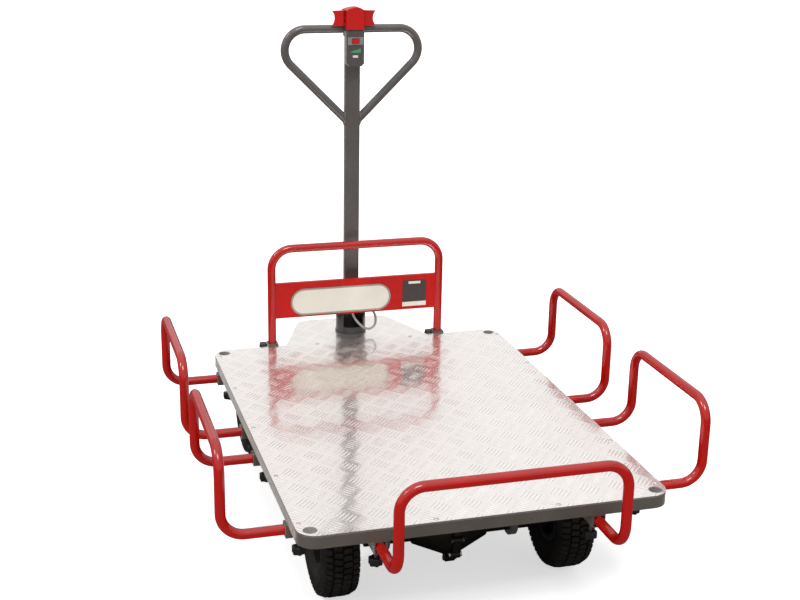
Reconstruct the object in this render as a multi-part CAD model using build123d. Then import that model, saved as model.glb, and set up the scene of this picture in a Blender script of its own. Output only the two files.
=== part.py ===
from build123d import *
import math
import os

os.makedirs("parts", exist_ok=True)

# An electric platform trolley with a steering tiller. Millimetres, +X right, +Y towards the tiller, +Z up.
# The origin is on the floor, under the middle of the trolley.

# Fits
FIT = 0.3
RUNNING_FIT = 0.05

# Deck and frame
DECK_WIDTH = 800
DECK_LENGTH = 1100
DECK_HEIGHT = 290
DECK_CORNER_RADIUS = 40
PLATE_THICKNESS = 4
NOSE_LENGTH = 195
NOSE_BASE_WIDTH = 400
NOSE_TIP_WIDTH = 250
NOSE_TIP_RADIUS = 45
NOSE_INNER_RADIUS = 15
FRAME_TUBE_WIDTH = 50
FRAME_TUBE_HEIGHT = 25
FRAME_TUBE_WALL = 2.5
CROSS_TUBE_WIDTH = 40
NOSE_TUBE_WIDTH = 30
STAKE_HOLE_RADIUS = 14.5
STAKE_HOLE_INSET = 27
STAKE_TUBE_WALL = 3

# Rails, headboard and their sockets
RAIL_DIAMETER = 22
RAIL_BEND_RADIUS = 50
RAIL_RISE = 142
SIDE_RAIL_STANDOFF = 135
SIDE_RAIL_LENGTH = 360
REAR_RAIL_START = 125
FRONT_RAIL_START = 643
END_RAIL_STANDOFF = 122
END_RAIL_SPAN = 470
SOCKET_SIZE = 28
SOCKET_LENGTH = 70
SIDE_SOCKET_PROUD = 5
FOOT_DEPTH = 60
END_KNOB_SETBACK = 40
HEADBOARD_RISE = 266
HEADBOARD_BEND_RADIUS = 56
HEADBOARD_SOCKET_RISE = 5
HEADBOARD_SOCKET_DROP = 5
HEADBOARD_SOCKET_FLOOR = 2
HEADBOARD_SETBACK = 3
PANEL_RISE = 72
PANEL_HEIGHT = 99
PANEL_THICKNESS = 2
PANEL_FLANGE = 12
PANEL_FOLD_RADIUS = 4

# Star knobs
KNOB_DIAMETER = 30
KNOB_HEIGHT = 18
KNOB_LOBES = 6
KNOB_SCALLOP_RADIUS = 6
KNOB_SCALLOP_DEPTH = 3
KNOB_STUD_RADIUS = 4
KNOB_DROP = 26
HEADBOARD_KNOB_GAP = 2
HEADBOARD_KNOB_BELOW_DECK = 7
NOSE_KNOB_CLEARANCE = 1

# Wheels
TYRE_RADIUS = 125
TYRE_WIDTH = 85
TYRE_BEAD_RISE = 1
TYRE_LOWER_WALL_INSET = 5
TYRE_LOWER_WALL_DROP = 52
TYRE_BULGE_DROP = 34
TYRE_UPPER_WALL_INSET = 1.5
TYRE_UPPER_WALL_DROP = 18
TYRE_SHOULDER_INSET = 6
TYRE_SHOULDER_DROP = 8
TYRE_CROWN_INSET = 14
TYRE_CROWN_DROP = 2.5
RIM_BEAD_RADIUS = 52
RIM_FLANGE_RADIUS = 64
RIM_WIDTH = 64
RIM_WALL = 3
RIM_DISC_THICKNESS = 6
RIM_DISC_OFFSET = -8
HUB_RADIUS = 26
HUB_INNER = 38
HUB_OUTER = 22
NUT_RADIUS = 17
NUT_LENGTH = 12

# Rear axle and drive
REAR_AXLE_INSET = 288
REAR_WHEEL_X = 270
HALF_SHAFT_RADIUS = 12.5
CASE_FLANGE_RADIUS = 74
CASE_FLANGE_THICKNESS = 8
CASE_SHOULDER_RADIUS = 66
CASE_NECK_RADIUS = 32
CASE_NECK_X = 85
AXLE_TUBE_RADIUS = 26
AXLE_TUBE_END = 195
CASE_WALL = 20
HANGER_X = 150
HANGER_THICKNESS = 14
HANGER_TOP_WIDTH = 90
HANGER_RADIUS = 38
MOTOR_RADIUS = 52
MOTOR_LENGTH = 150
MOTOR_X = 55
MOTOR_LIFT = 10
MOTOR_BOSS_RADIUS = 44
MOTOR_BOSS_REACH = 76
BRAKE_RADIUS = 40
BRAKE_LENGTH = 36

# Front axle and steering linkage
FRONT_AXLE_INSET = 20
FRONT_WHEEL_X = 288
KINGPIN_X = 205
KINGPIN_RADIUS = 8
KINGPIN_HEAD_RADIUS = 13
KINGPIN_HEAD_HEIGHT = 8
AXLE_BEAM_SIZE = 40
AXLE_BEAM_WALL = 4
CLEVIS_PLATE = 8
CLEVIS_GAP = 64
CLEVIS_RADIUS = 22
CLEVIS_WEB_SETBACK = 40
PEDESTAL_X = 130
PEDESTAL_WIDTH = 50
PEDESTAL_DEPTH = 36
KNUCKLE_RADIUS = 18
STUB_AXLE_RADIUS = 10
STUB_SHOULDER_RADIUS = 15
STEERING_ARM_REACH = 70
STEERING_ARM_SPREAD = 14
STEERING_ARM_THICKNESS = 10
STEERING_ARM_RISE = 21
STEERING_ARM_END_RADIUS = 13
LINK_PIN_RADIUS = 6
LINK_PIN_HEAD_RADIUS = 10
LINK_PIN_HEAD_HEIGHT = 4
ROD_EYE_RADIUS = 12
ROD_EYE_HEIGHT = 12
ROD_RADIUS = 5.5
WHEEL_BEARING_RADIUS = 21
WHEEL_BEARING_WIDTH = 12

# Steering column and its bearings
COLUMN_AHEAD = 79
COLUMN_RADIUS = 17.5
COLUMN_NUT_RADIUS = 26
COLUMN_NUT_HEIGHT = 12
PITMAN_BOSS_RADIUS = 30
HOUSING_RADIUS = 34
HOUSING_BOTTOM = 182
HOUSING_FLANGE_RADIUS = 43
HOUSING_FLANGE_THICKNESS = 5
HOUSING_LIP = 4
HOUSING_LIP_RADIUS = 23
COLUMN_BEARING_RADIUS = 29
COLUMN_BEARING_HEIGHT = 16
CARRIER_THICKNESS = 6
CARRIER_WIDTH = 160
YOKE_RADIUS = 41
YOKE_SLOT_WIDTH = 54.6
YOKE_FLOOR = 16
YOKE_TOP_RADIUS = 28
YOKE_WAIST = 30
YOKE_WEB_SETBACK = 22
YOKE_WEB_THICKNESS = 4
YOKE_WEB_DROP = 16
PIVOT_RISE = 78
PIVOT_PIN_RADIUS = 10
PIVOT_HEAD_RADIUS = 14
PIVOT_HEAD_THICKNESS = 4

# Tiller
POST_WIDTH = 40
POST_DEPTH = 22
POST_WALL = 3
POST_CORNER_RADIUS = 4
BARREL_RADIUS = 18
HANDLE_RISE = 837
HANDLE_DIAMETER = 22
HANDLE_BEND_RADIUS = 54
HANDLE_OUTER_WIDTH = 384
HANDLE_JOIN_RISE = 600
CONTROL_WIDTH = 48
CONTROL_DEPTH = 26
CONTROL_CORNER_RADIUS = 4
CONTROL_CHAMFER = 8
CONTROL_BOTTOM_RISE = 743
CONTROL_TOP_RISE = 833
HEAD_FRONT = 33
HEAD_BACK = 18
HEAD_BOTTOM_RISE = 817
HEAD_TOP_RISE = 872
SAFETY_BUTTON_WIDTH = 48
SAFETY_BUTTON_BOTTOM_RISE = 838
SAFETY_BUTTON_CEILING_RISE = 877
SAFETY_BUTTON_SHOULDER_RISE = 887
SAFETY_BUTTON_TOP_RISE = 896
SAFETY_BUTTON_FALL_START = -10
SAFETY_BUTTON_BACK_RISE = 884
SAFETY_BUTTON_WALL = 3
SAFETY_BUTTON_TRAVEL = 4
SAFETY_BUTTON_CLEARANCE = 0.8
SAFETY_BUTTON_EDGE_RADIUS = 3
PADDLE_AXIS_RISE = 866
PADDLE_AXIS_FRONT = 15
PADDLE_SHAFT_RADIUS = 4
PADDLE_SPAN = 118
PADDLE_ROOT_HEIGHT = 40
PADDLE_TIP_HEIGHT = 38
PADDLE_ROOT_RADIUS = 6.5
PADDLE_TIP_RADIUS = 2.5
PADDLE_NOTCH = 8
PANEL_BUTTON_RISE = 809
PANEL_BUTTON_WIDTH = 20
PANEL_BUTTON_HEIGHT = 13
PANEL_BUTTON_PROUD = 4
PANEL_BUTTON_DEPTH = 8
PANEL_BUTTON_TRAVEL = 2.5

# Control cable
CABLE_DIAMETER = 6.5
CABLE_ARC_SHARE = 0.45
CABLE_GLAND_ANGLE = -22
CABLE_GLAND_RUN = 15

# Batteries and controller
BATTERY_WIDTH = 196
BATTERY_LENGTH = 165
BATTERY_HEIGHT = 168
BATTERY_GAP = 6
BATTERY_HEADROOM = 4
BATTERY_MIDDLE = 723
TRAY_WALL = 3
TRAY_FLANGE = 30
CONTROLLER_WIDTH = 180
CONTROLLER_LENGTH = 110
CONTROLLER_HEIGHT = 46
CONTROLLER_MIDDLE = 515
CONTROLLER_FINS = 9
CONTROLLER_FIN_HEIGHT = 14

# Places that follow from the sizes
REAR_Y = -(DECK_LENGTH + NOSE_LENGTH - END_RAIL_STANDOFF - RAIL_DIAMETER / 2) / 2
FRONT_Y = REAR_Y + DECK_LENGTH
NOSE_Y = FRONT_Y + NOSE_LENGTH
SIDE_X = DECK_WIDTH / 2
PLATE_BOTTOM = DECK_HEIGHT - PLATE_THICKNESS
FRAME_BOTTOM = PLATE_BOTTOM - FRAME_TUBE_HEIGHT
RAIL_RADIUS = RAIL_DIAMETER / 2
SOCKET_BORE = RAIL_DIAMETER + 2 * FIT
SOCKET_WALL = (SOCKET_SIZE - SOCKET_BORE) / 2
SOCKET_Z = FRAME_BOTTOM - SOCKET_SIZE / 2
RAIL_TOP = DECK_HEIGHT + RAIL_RISE
SIDE_RAIL_YS = {"rear": REAR_Y + REAR_RAIL_START, "front": REAR_Y + FRONT_RAIL_START}
SIDE_LEG_YS = [y + step for y in SIDE_RAIL_YS.values() for step in (0, SIDE_RAIL_LENGTH)]
HEADBOARD_Y = FRONT_Y + HEADBOARD_SETBACK + SOCKET_SIZE / 2
HEADBOARD_STUD = HEADBOARD_KNOB_GAP + SOCKET_WALL
HEADBOARD_X = NOSE_BASE_WIDTH / 2 + NOSE_KNOB_CLEARANCE + KNOB_HEIGHT + HEADBOARD_STUD + RAIL_RADIUS + FIT
AXLE_Z = TYRE_RADIUS
REAR_AXLE_Y = REAR_Y + REAR_AXLE_INSET
FRONT_AXLE_Y = FRONT_Y - FRONT_AXLE_INSET
COLUMN_Y = FRONT_Y + COLUMN_AHEAD
ARM_BOTTOM = AXLE_Z + STEERING_ARM_RISE
ARM_TOP = ARM_BOTTOM + STEERING_ARM_THICKNESS
ROD_BOTTOM = ARM_TOP + FIT
ROD_TOP = ROD_BOTTOM + ROD_EYE_HEIGHT
YOKE_BOTTOM = DECK_HEIGHT + HOUSING_FLANGE_THICKNESS + FIT
PIVOT_Z = DECK_HEIGHT + PIVOT_RISE
HANDLE_Z = DECK_HEIGHT + HANDLE_RISE
CONTROL_FRONT_Y = COLUMN_Y - POST_DEPTH / 2 - CONTROL_DEPTH
HEAD_WIDTH = SAFETY_BUTTON_WIDTH - 2 * (SAFETY_BUTTON_WALL + FIT)
BATTERY_Y = REAR_Y + BATTERY_MIDDLE
TRAY_LENGTH = BATTERY_LENGTH + 2 * (FIT + TRAY_WALL)
TRAY_WIDTH = 2 * BATTERY_WIDTH + BATTERY_GAP + 2 * (FIT + TRAY_WALL)


def keep(name, *solids):
    """Writes one sub-part, which may be a group of like solids."""
    shape = solids[0] if len(solids) == 1 else Compound(children=list(solids))
    export_step(shape, f"parts/{name}.step")


def mirrored(shape):
    return mirror(shape, about=Plane.YZ)


def turned(points):
    """A solid turned about the X axis from (x, radius) points."""
    return revolve(make_face(Polyline(*points, close=True)), axis=Axis.X)


def turned_upright(points):
    """A solid turned about the Z axis from (radius, z) points."""
    return revolve(Plane.XZ * make_face(Polyline(*points, close=True)), axis=Axis.Z)


def block(x_range, y_range, z_range):
    size = [high - low for low, high in (x_range, y_range, z_range)]
    middle = [(high + low) / 2 for low, high in (x_range, y_range, z_range)]
    return Pos(*middle) * Box(*size)


def square_tube(x_range, y_range, z_range, wall, along):
    """A rectangular tube, open at both ends of the axis it runs along."""
    ranges = {"x": x_range, "y": y_range, "z": z_range}
    inner = {
        axis: (low - 1, high + 1) if axis == along else (low + wall, high - wall)
        for axis, (low, high) in ranges.items()
    }
    return block(x_range, y_range, z_range) - block(inner["x"], inner["y"], inner["z"])


def bent_rod(points, radii, diameter):
    """A round bar along straight runs that are joined by tangent bends."""
    path = FilletPolyline(*points, radius=radii)
    section = Plane(origin=path @ 0, z_dir=path % 0) * Circle(diameter / 2)
    return sweep(section, path=path)


def around_z(x, y, radius, z_range):
    low, high = z_range
    return Pos(x, y, (low + high) / 2) * Cylinder(radius, high - low)


def link_plate(circles, z_range):
    """A flat link whose outline wraps round (x, y, radius) circles."""
    outline = make_hull([edge for x, y, radius in circles for edge in (Pos(x, y) * Circle(radius)).edges()])
    return extrude(Pos(0, 0, z_range[0]) * outline, z_range[1] - z_range[0])


# The deck: a tread-plate sheet, and the tapered nose sheet that is butted to its front edge
def nose_face(radius, inset=0):
    base = NOSE_BASE_WIDTH / 2 - inset
    tip = NOSE_TIP_WIDTH / 2 - inset
    points = [(-base, FRONT_Y), (base, FRONT_Y), (tip, NOSE_Y - inset), (-tip, NOSE_Y - inset)]
    face = make_face(Polyline(*points, close=True))
    corners = [v for v in face.vertices() if v.Y > FRONT_Y + 1]
    return fillet(corners, radius)


def deck_sheets():
    deck = Pos(0, REAR_Y + DECK_LENGTH / 2) * RectangleRounded(DECK_WIDTH, DECK_LENGTH, DECK_CORNER_RADIUS)
    for x, y in stake_holes():
        deck -= Pos(x, y) * Circle(STAKE_HOLE_RADIUS + FIT)
    nose = nose_face(NOSE_TIP_RADIUS) - Pos(0, COLUMN_Y) * Circle(HOUSING_RADIUS + FIT)
    return [extrude(Pos(0, 0, PLATE_BOTTOM) * face, PLATE_THICKNESS) for face in (deck, nose)]


def stake_holes():
    x = SIDE_X - STAKE_HOLE_INSET
    rear, front = REAR_Y + STAKE_HOLE_INSET, FRONT_Y - STAKE_HOLE_INSET
    return [(-x, rear), (x, rear), (-x, front), (x, front)]


keep("deck_plate", *deck_sheets())


# The welded frame: perimeter tubes between rounded corner pieces, cross members, nose tubes
def frame_corner():
    """The rear right corner, with its upright stake tube."""
    outer, wall = FRAME_TUBE_WIDTH, FRAME_TUBE_WALL
    square = Pos(-outer / 2, outer / 2) * Rectangle(outer, outer)
    corner = [v for v in square.vertices() if v.X > -1 and v.Y < 1]
    shell = extrude(fillet(corner, DECK_CORNER_RADIUS), FRAME_TUBE_HEIGHT)
    room = Pos(-outer / 2 - wall, outer / 2 + wall) * Rectangle(outer, outer)
    corner = [v for v in room.vertices() if v.X > -wall - 1 and v.Y < wall + 1]
    inside = fillet(corner, DECK_CORNER_RADIUS - wall)
    shell -= Pos(0, 0, wall) * extrude(inside, FRAME_TUBE_HEIGHT - 2 * wall)
    place = Pos(-STAKE_HOLE_INSET, STAKE_HOLE_INSET, FRAME_TUBE_HEIGHT / 2)
    shell += place * Cylinder(STAKE_HOLE_RADIUS + STAKE_TUBE_WALL, FRAME_TUBE_HEIGHT)
    shell -= place * Cylinder(STAKE_HOLE_RADIUS, FRAME_TUBE_HEIGHT + 2)
    return Pos(SIDE_X, REAR_Y, FRAME_BOTTOM) * shell


def frame_corners():
    rear_right = frame_corner()
    rear = [rear_right, mirrored(rear_right)]
    return rear + [mirror(c, about=Plane.XZ.offset(-(REAR_Y + DECK_LENGTH / 2))) for c in rear]


def frame_tubes():
    z = (FRAME_BOTTOM, PLATE_BOTTOM)
    x_end = SIDE_X - FRAME_TUBE_WIDTH
    y_ends = (REAR_Y + FRAME_TUBE_WIDTH, FRONT_Y - FRAME_TUBE_WIDTH)
    side_xs = ((x_end, SIDE_X), (-SIDE_X, -x_end))
    sides = [square_tube(side, y_ends, z, FRAME_TUBE_WALL, "y") for side in side_xs]
    rear = square_tube((-x_end, x_end), (REAR_Y, y_ends[0]), z, FRAME_TUBE_WALL, "x")
    front = square_tube((-x_end, x_end), (y_ends[1], FRONT_Y), z, FRAME_TUBE_WALL, "x")
    half = CROSS_TUBE_WIDTH / 2
    cross = [
        square_tube((-x_end, x_end), (y - half, y + half), z, FRAME_TUBE_WALL, "x") for y in cross_member_ys()
    ]
    return sides + [rear, front] + cross


def cross_member_ys():
    """Over the rear axle, over the controller, and along both ends of the battery tray."""
    reach = TRAY_LENGTH / 2 + TRAY_FLANGE / 2
    return [REAR_AXLE_Y, REAR_Y + CONTROLLER_MIDDLE, BATTERY_Y - reach, BATTERY_Y + reach]


def nose_frame():
    """Two slanted tubes and the tip tube under the nose plate, and the plate that carries the column."""
    outline = nose_face(NOSE_TIP_RADIUS) - nose_face(NOSE_INNER_RADIUS, NOSE_TUBE_WIDTH)
    rim = extrude(Pos(0, 0, FRAME_BOTTOM) * outline, FRAME_TUBE_HEIGHT)
    z = (FRAME_BOTTOM, PLATE_BOTTOM)
    tip_y = NOSE_Y - NOSE_TUBE_WIDTH
    wide = (-NOSE_BASE_WIDTH, NOSE_BASE_WIDTH)
    tip = rim & block(wide, (tip_y, NOSE_Y + 1), z)
    left, right = (rim & block(wide, (FRONT_Y, tip_y), z)).solids()
    carrier = block(
        (-CARRIER_WIDTH / 2, CARRIER_WIDTH / 2),
        (FRONT_Y - FRAME_TUBE_WIDTH, NOSE_Y - FRAME_TUBE_WALL),
        (FRAME_BOTTOM - CARRIER_THICKNESS, FRAME_BOTTOM),
    )
    hole_ends = (FRAME_BOTTOM - CARRIER_THICKNESS - 1, FRAME_BOTTOM + 1)
    carrier -= around_z(0, COLUMN_Y, HOUSING_RADIUS + FIT, hole_ends)
    return [left, right, tip, carrier]


keep("frame_corners", *frame_corners())
keep("frame_tubes", *frame_tubes())
keep("nose_frame", *nose_frame())


# Square sockets under the frame for the rail feet, and behind the deck for the headboard
def rail_socket(setback):
    """A socket along +X with its mouth at the origin, drilled below for the clamping stud."""
    half = SOCKET_SIZE / 2
    socket = square_tube((-SOCKET_LENGTH, 0), (-half, half), (-half, half), SOCKET_WALL, "x")
    return socket - around_z(-setback, 0, KNOB_STUD_RADIUS + FIT, (-half - 1, 0))


def headboard_socket(x):
    half = SOCKET_SIZE / 2
    z = (FRAME_BOTTOM - HEADBOARD_SOCKET_DROP, DECK_HEIGHT + HEADBOARD_SOCKET_RISE)
    bore = SOCKET_BORE / 2
    socket = block((x - half, x + half), (FRONT_Y, HEADBOARD_Y + half), z)
    floor = z[0] + HEADBOARD_SOCKET_FLOOR
    socket -= block((x - bore, x + bore), (HEADBOARD_Y - bore, HEADBOARD_Y + bore), (floor, z[1] + 1))
    hole = Pos(x - half, HEADBOARD_Y, DECK_HEIGHT - HEADBOARD_KNOB_BELOW_DECK) * Rot(0, 90, 0)
    return socket - hole * Cylinder(KNOB_STUD_RADIUS + FIT, SOCKET_SIZE / 2)


def rail_sockets():
    side_socket = rail_socket(SIDE_SOCKET_PROUD + FRAME_TUBE_WIDTH / 2)
    end_socket = Rot(0, 0, -90) * rail_socket(END_KNOB_SETBACK)
    right = [Pos(SIDE_X + SIDE_SOCKET_PROUD, y, SOCKET_Z) * side_socket for y in SIDE_LEG_YS]
    rear = [Pos(side * END_RAIL_SPAN / 2, REAR_Y, SOCKET_Z) * end_socket for side in (-1, 1)]
    front = [headboard_socket(side * HEADBOARD_X) for side in (-1, 1)]
    return right + [mirrored(s) for s in right] + rear + front


keep("rail_sockets", *rail_sockets())


# Rails: hoops of bent tube whose two feet turn in under the deck
def side_rail(first_y):
    foot = SIDE_X + SIDE_SOCKET_PROUD - FOOT_DEPTH
    leg = SIDE_X + SIDE_RAIL_STANDOFF
    last_y = first_y + SIDE_RAIL_LENGTH
    points = [
        (foot, first_y, SOCKET_Z),
        (leg, first_y, SOCKET_Z),
        (leg, first_y, RAIL_TOP),
        (leg, last_y, RAIL_TOP),
        (leg, last_y, SOCKET_Z),
        (foot, last_y, SOCKET_Z),
    ]
    return bent_rod(points, RAIL_BEND_RADIUS, RAIL_DIAMETER)


def end_rail():
    foot = REAR_Y + FOOT_DEPTH
    leg = REAR_Y - END_RAIL_STANDOFF
    x = END_RAIL_SPAN / 2
    points = [
        (-x, foot, SOCKET_Z),
        (-x, leg, SOCKET_Z),
        (-x, leg, RAIL_TOP),
        (x, leg, RAIL_TOP),
        (x, leg, SOCKET_Z),
        (x, foot, SOCKET_Z),
    ]
    return bent_rod(points, RAIL_BEND_RADIUS, RAIL_DIAMETER)


for place, first_leg_y in SIDE_RAIL_YS.items():
    rail = side_rail(first_leg_y)
    keep(f"right_{place}_rail", rail)
    keep(f"left_{place}_rail", mirrored(rail))
keep("end_rail", end_rail())


# The headboard: a hoop with a folded sheet between its legs
def headboard_hoop():
    x = HEADBOARD_X
    foot = FRAME_BOTTOM - HEADBOARD_SOCKET_DROP + HEADBOARD_SOCKET_FLOOR
    top = DECK_HEIGHT + HEADBOARD_RISE
    points = [(-x, HEADBOARD_Y, foot), (-x, HEADBOARD_Y, top), (x, HEADBOARD_Y, top), (x, HEADBOARD_Y, foot)]
    return bent_rod(points, HEADBOARD_BEND_RADIUS, RAIL_DIAMETER)


def folded_block(half_width, y_range, z_range, radius):
    """A block whose two long front edges are rounded as a fold rounds them."""
    solid = block((-half_width, half_width), y_range, z_range)
    return fillet(solid.edges().filter_by(Axis.X).group_by(Axis.Y)[0], radius)


def headboard_panel():
    """A sheet with its top and bottom edges folded back, scribed to the legs at its ends."""
    x = HEADBOARD_X
    face_y = HEADBOARD_Y - RAIL_RADIUS / 2
    z = (DECK_HEIGHT + PANEL_RISE, DECK_HEIGHT + PANEL_RISE + PANEL_HEIGHT)
    panel = folded_block(x, (face_y, face_y + PANEL_FLANGE), z, PANEL_FOLD_RADIUS)
    inner_radius = PANEL_FOLD_RADIUS - PANEL_THICKNESS
    inner_z = (z[0] + PANEL_THICKNESS, z[1] - PANEL_THICKNESS)
    panel -= folded_block(x + 1, (face_y + PANEL_THICKNESS, face_y + PANEL_FLANGE + 1), inner_z, inner_radius)
    for side in (-1, 1):
        panel -= around_z(side * x, HEADBOARD_Y, RAIL_RADIUS + RUNNING_FIT, (z[0] - 1, z[1] + 1))
    return panel.solids().sort_by(SortBy.VOLUME)[-1]


keep("headboard_hoop", headboard_hoop())
keep("headboard_panel", headboard_panel())


# Star knobs: a scalloped moulded head on a zinc stud
def star_knob(stud_length):
    """Axis +Z, with the stud's tip at the origin and the head below it."""
    head = Circle(KNOB_DIAMETER / 2)
    reach = KNOB_DIAMETER / 2 + KNOB_SCALLOP_RADIUS - KNOB_SCALLOP_DEPTH
    for location in PolarLocations(reach, KNOB_LOBES):
        head -= location * Circle(KNOB_SCALLOP_RADIUS)
    knob = Pos(0, 0, -stud_length - KNOB_HEIGHT) * extrude(head, KNOB_HEIGHT)
    return knob + around_z(0, 0, KNOB_STUD_RADIUS, (-stud_length, 0))


def knob_places():
    """Each knob's name and place, with the stud's tip just short of the tube that it clamps."""
    tip_z = SOCKET_Z - RAIL_RADIUS - FIT
    hanging = star_knob(KNOB_DROP + SOCKET_WALL)
    x = SIDE_X - FRAME_TUBE_WIDTH / 2
    for number, y in enumerate(SIDE_LEG_YS, 1):
        yield f"right_knob_{number}", Pos(x, y, tip_z) * hanging
        yield f"left_knob_{number}", Pos(-x, y, tip_z) * hanging
    for side, name in ((-1, "left"), (1, "right")):
        yield f"end_knob_{name}", Pos(side * END_RAIL_SPAN / 2, REAR_Y + END_KNOB_SETBACK, tip_z) * hanging
    sideways = Rot(0, 90, 0) * star_knob(HEADBOARD_STUD)
    z = DECK_HEIGHT - HEADBOARD_KNOB_BELOW_DECK
    for side, name in ((-1, "left"), (1, "right")):
        tip_x = side * HEADBOARD_X - RAIL_RADIUS - FIT
        yield f"headboard_knob_{name}", Pos(tip_x, HEADBOARD_Y, z) * sideways


for name, knob in knob_places():
    keep(name, knob)


# Wheels, drawn with +X outward and the wheel's middle at the origin
def tyre():
    half = TYRE_WIDTH / 2
    bead = RIM_WIDTH / 2 - RIM_WALL - FIT
    outline = [
        (bead, RIM_BEAD_RADIUS + RUNNING_FIT),
        (bead, RIM_FLANGE_RADIUS + TYRE_BEAD_RISE),
        (half - TYRE_LOWER_WALL_INSET, TYRE_RADIUS - TYRE_LOWER_WALL_DROP),
        (half, TYRE_RADIUS - TYRE_BULGE_DROP),
        (half - TYRE_UPPER_WALL_INSET, TYRE_RADIUS - TYRE_UPPER_WALL_DROP),
        (half - TYRE_SHOULDER_INSET, TYRE_RADIUS - TYRE_SHOULDER_DROP),
        (half - TYRE_CROWN_INSET, TYRE_RADIUS - TYRE_CROWN_DROP),
        (0, TYRE_RADIUS),
    ]
    other_side = [(-x, radius) for x, radius in reversed(outline[:-1])]
    return turned(outline + other_side)


def rim(hub_bore):
    """A pressed rim on a dished disc, with a turned hub."""
    edge = RIM_WIDTH / 2
    seat = edge - RIM_WALL
    under = RIM_BEAD_RADIUS - RIM_WALL
    disc = (RIM_DISC_OFFSET - RIM_DISC_THICKNESS / 2, RIM_DISC_OFFSET + RIM_DISC_THICKNESS / 2)
    return turned(
        [
            (-HUB_INNER, hub_bore),
            (HUB_OUTER, hub_bore),
            (HUB_OUTER, HUB_RADIUS),
            (disc[1], HUB_RADIUS),
            (disc[1], under),
            (edge, under),
            (edge, RIM_FLANGE_RADIUS),
            (seat, RIM_FLANGE_RADIUS),
            (seat, RIM_BEAD_RADIUS),
            (-seat, RIM_BEAD_RADIUS),
            (-seat, RIM_FLANGE_RADIUS),
            (-edge, RIM_FLANGE_RADIUS),
            (-edge, under),
            (disc[0], under),
            (disc[0], HUB_RADIUS),
            (-HUB_INNER, HUB_RADIUS),
        ]
    )


def wheel_bearings():
    inner = STUB_AXLE_RADIUS + RUNNING_FIT
    outer = WHEEL_BEARING_RADIUS - RUNNING_FIT
    starts = (-HUB_INNER, HUB_OUTER - WHEEL_BEARING_WIDTH)
    return [
        turned([(s, inner), (s, outer), (s + WHEEL_BEARING_WIDTH, outer), (s + WHEEL_BEARING_WIDTH, inner)])
        for s in starts
    ]


def half_shaft():
    """The driven shaft, from inside the transaxle to the hub nut, in the wheel's own place."""
    inner_end = CASE_WALL + FIT - REAR_WHEEL_X
    nut = HUB_OUTER + FIT
    return turned(
        [
            (inner_end, 0),
            (inner_end, HALF_SHAFT_RADIUS),
            (nut, HALF_SHAFT_RADIUS),
            (nut, NUT_RADIUS),
            (nut + NUT_LENGTH, NUT_RADIUS),
            (nut + NUT_LENGTH, 0),
        ]
    )


rear_place = Pos(REAR_WHEEL_X, REAR_AXLE_Y, AXLE_Z)
front_place = Pos(FRONT_WHEEL_X, FRONT_AXLE_Y, AXLE_Z)
wheel_pieces = {
    "rear_{}_tyre": [rear_place * tyre()],
    "rear_{}_rim": [rear_place * rim(HALF_SHAFT_RADIUS + RUNNING_FIT)],
    "{}_half_shaft": [rear_place * half_shaft()],
    "front_{}_tyre": [front_place * tyre()],
    "front_{}_rim": [front_place * rim(WHEEL_BEARING_RADIUS)],
    "front_{}_bearings": [front_place * ring for ring in wheel_bearings()],
}
for name, pieces in wheel_pieces.items():
    keep(name.format("right"), *pieces)
    keep(name.format("left"), *[mirrored(piece) for piece in pieces])


# Rear drive: a transaxle in two halves, its hangers, the motor and its brake
def case_half():
    """The right half of the transaxle, with its axle tube."""
    bore = HALF_SHAFT_RADIUS + RUNNING_FIT
    half = turned(
        [
            (0, 0),
            (0, CASE_FLANGE_RADIUS),
            (CASE_FLANGE_THICKNESS, CASE_FLANGE_RADIUS),
            (CASE_FLANGE_THICKNESS, CASE_SHOULDER_RADIUS),
            (CASE_NECK_X, CASE_NECK_RADIUS),
            (CASE_NECK_X, AXLE_TUBE_RADIUS),
            (AXLE_TUBE_END, AXLE_TUBE_RADIUS),
            (AXLE_TUBE_END, bore),
            (CASE_WALL, bore),
            (CASE_WALL, 0),
        ]
    )
    return Pos(0, REAR_AXLE_Y, AXLE_Z) * half


def around_y(x, z, radius, y_range):
    low, high = y_range
    return Pos(x, (low + high) / 2, z) * Rot(90, 0, 0) * Cylinder(radius, high - low)


def transaxle_case():
    motor_z = AXLE_Z + MOTOR_LIFT
    right = case_half()
    boss = around_y(MOTOR_X, motor_z, MOTOR_BOSS_RADIUS, (REAR_AXLE_Y, REAR_AXLE_Y + MOTOR_BOSS_REACH))
    bore = Pos(0, REAR_AXLE_Y, AXLE_Z) * turned(
        [
            (CASE_WALL, 0),
            (CASE_WALL, HALF_SHAFT_RADIUS + RUNNING_FIT),
            (AXLE_TUBE_END, HALF_SHAFT_RADIUS + RUNNING_FIT),
            (AXLE_TUBE_END, 0),
        ]
    )
    return [mirrored(right), right + boss - bore]


def drive_motor():
    """The motor and the parking brake on its tail."""
    motor_z = AXLE_Z + MOTOR_LIFT
    start = REAR_AXLE_Y + MOTOR_BOSS_REACH
    end = start + MOTOR_LENGTH
    motor = around_y(MOTOR_X, motor_z, MOTOR_RADIUS, (start, end))
    brake = around_y(MOTOR_X, motor_z, BRAKE_RADIUS, (end, end + BRAKE_LENGTH))
    return [motor, brake]


def axle_hanger():
    """A plate from the cross member down to the axle tube, round at its lower end."""
    drop = FRAME_BOTTOM - AXLE_Z
    top = Pos(0, drop - 1) * Rectangle(HANGER_TOP_WIDTH, 2)
    outline = make_hull([*top.edges(), *Circle(HANGER_RADIUS).edges()])
    outline -= Circle(AXLE_TUBE_RADIUS + RUNNING_FIT)
    plate = extrude(Plane.YZ * outline, HANGER_THICKNESS)
    return Pos(HANGER_X - HANGER_THICKNESS / 2, REAR_AXLE_Y, AXLE_Z) * plate


keep("transaxle_case", *transaxle_case())
keep("drive_motor", *drive_motor())
keep("axle_hangers", axle_hanger(), mirrored(axle_hanger()))


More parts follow.
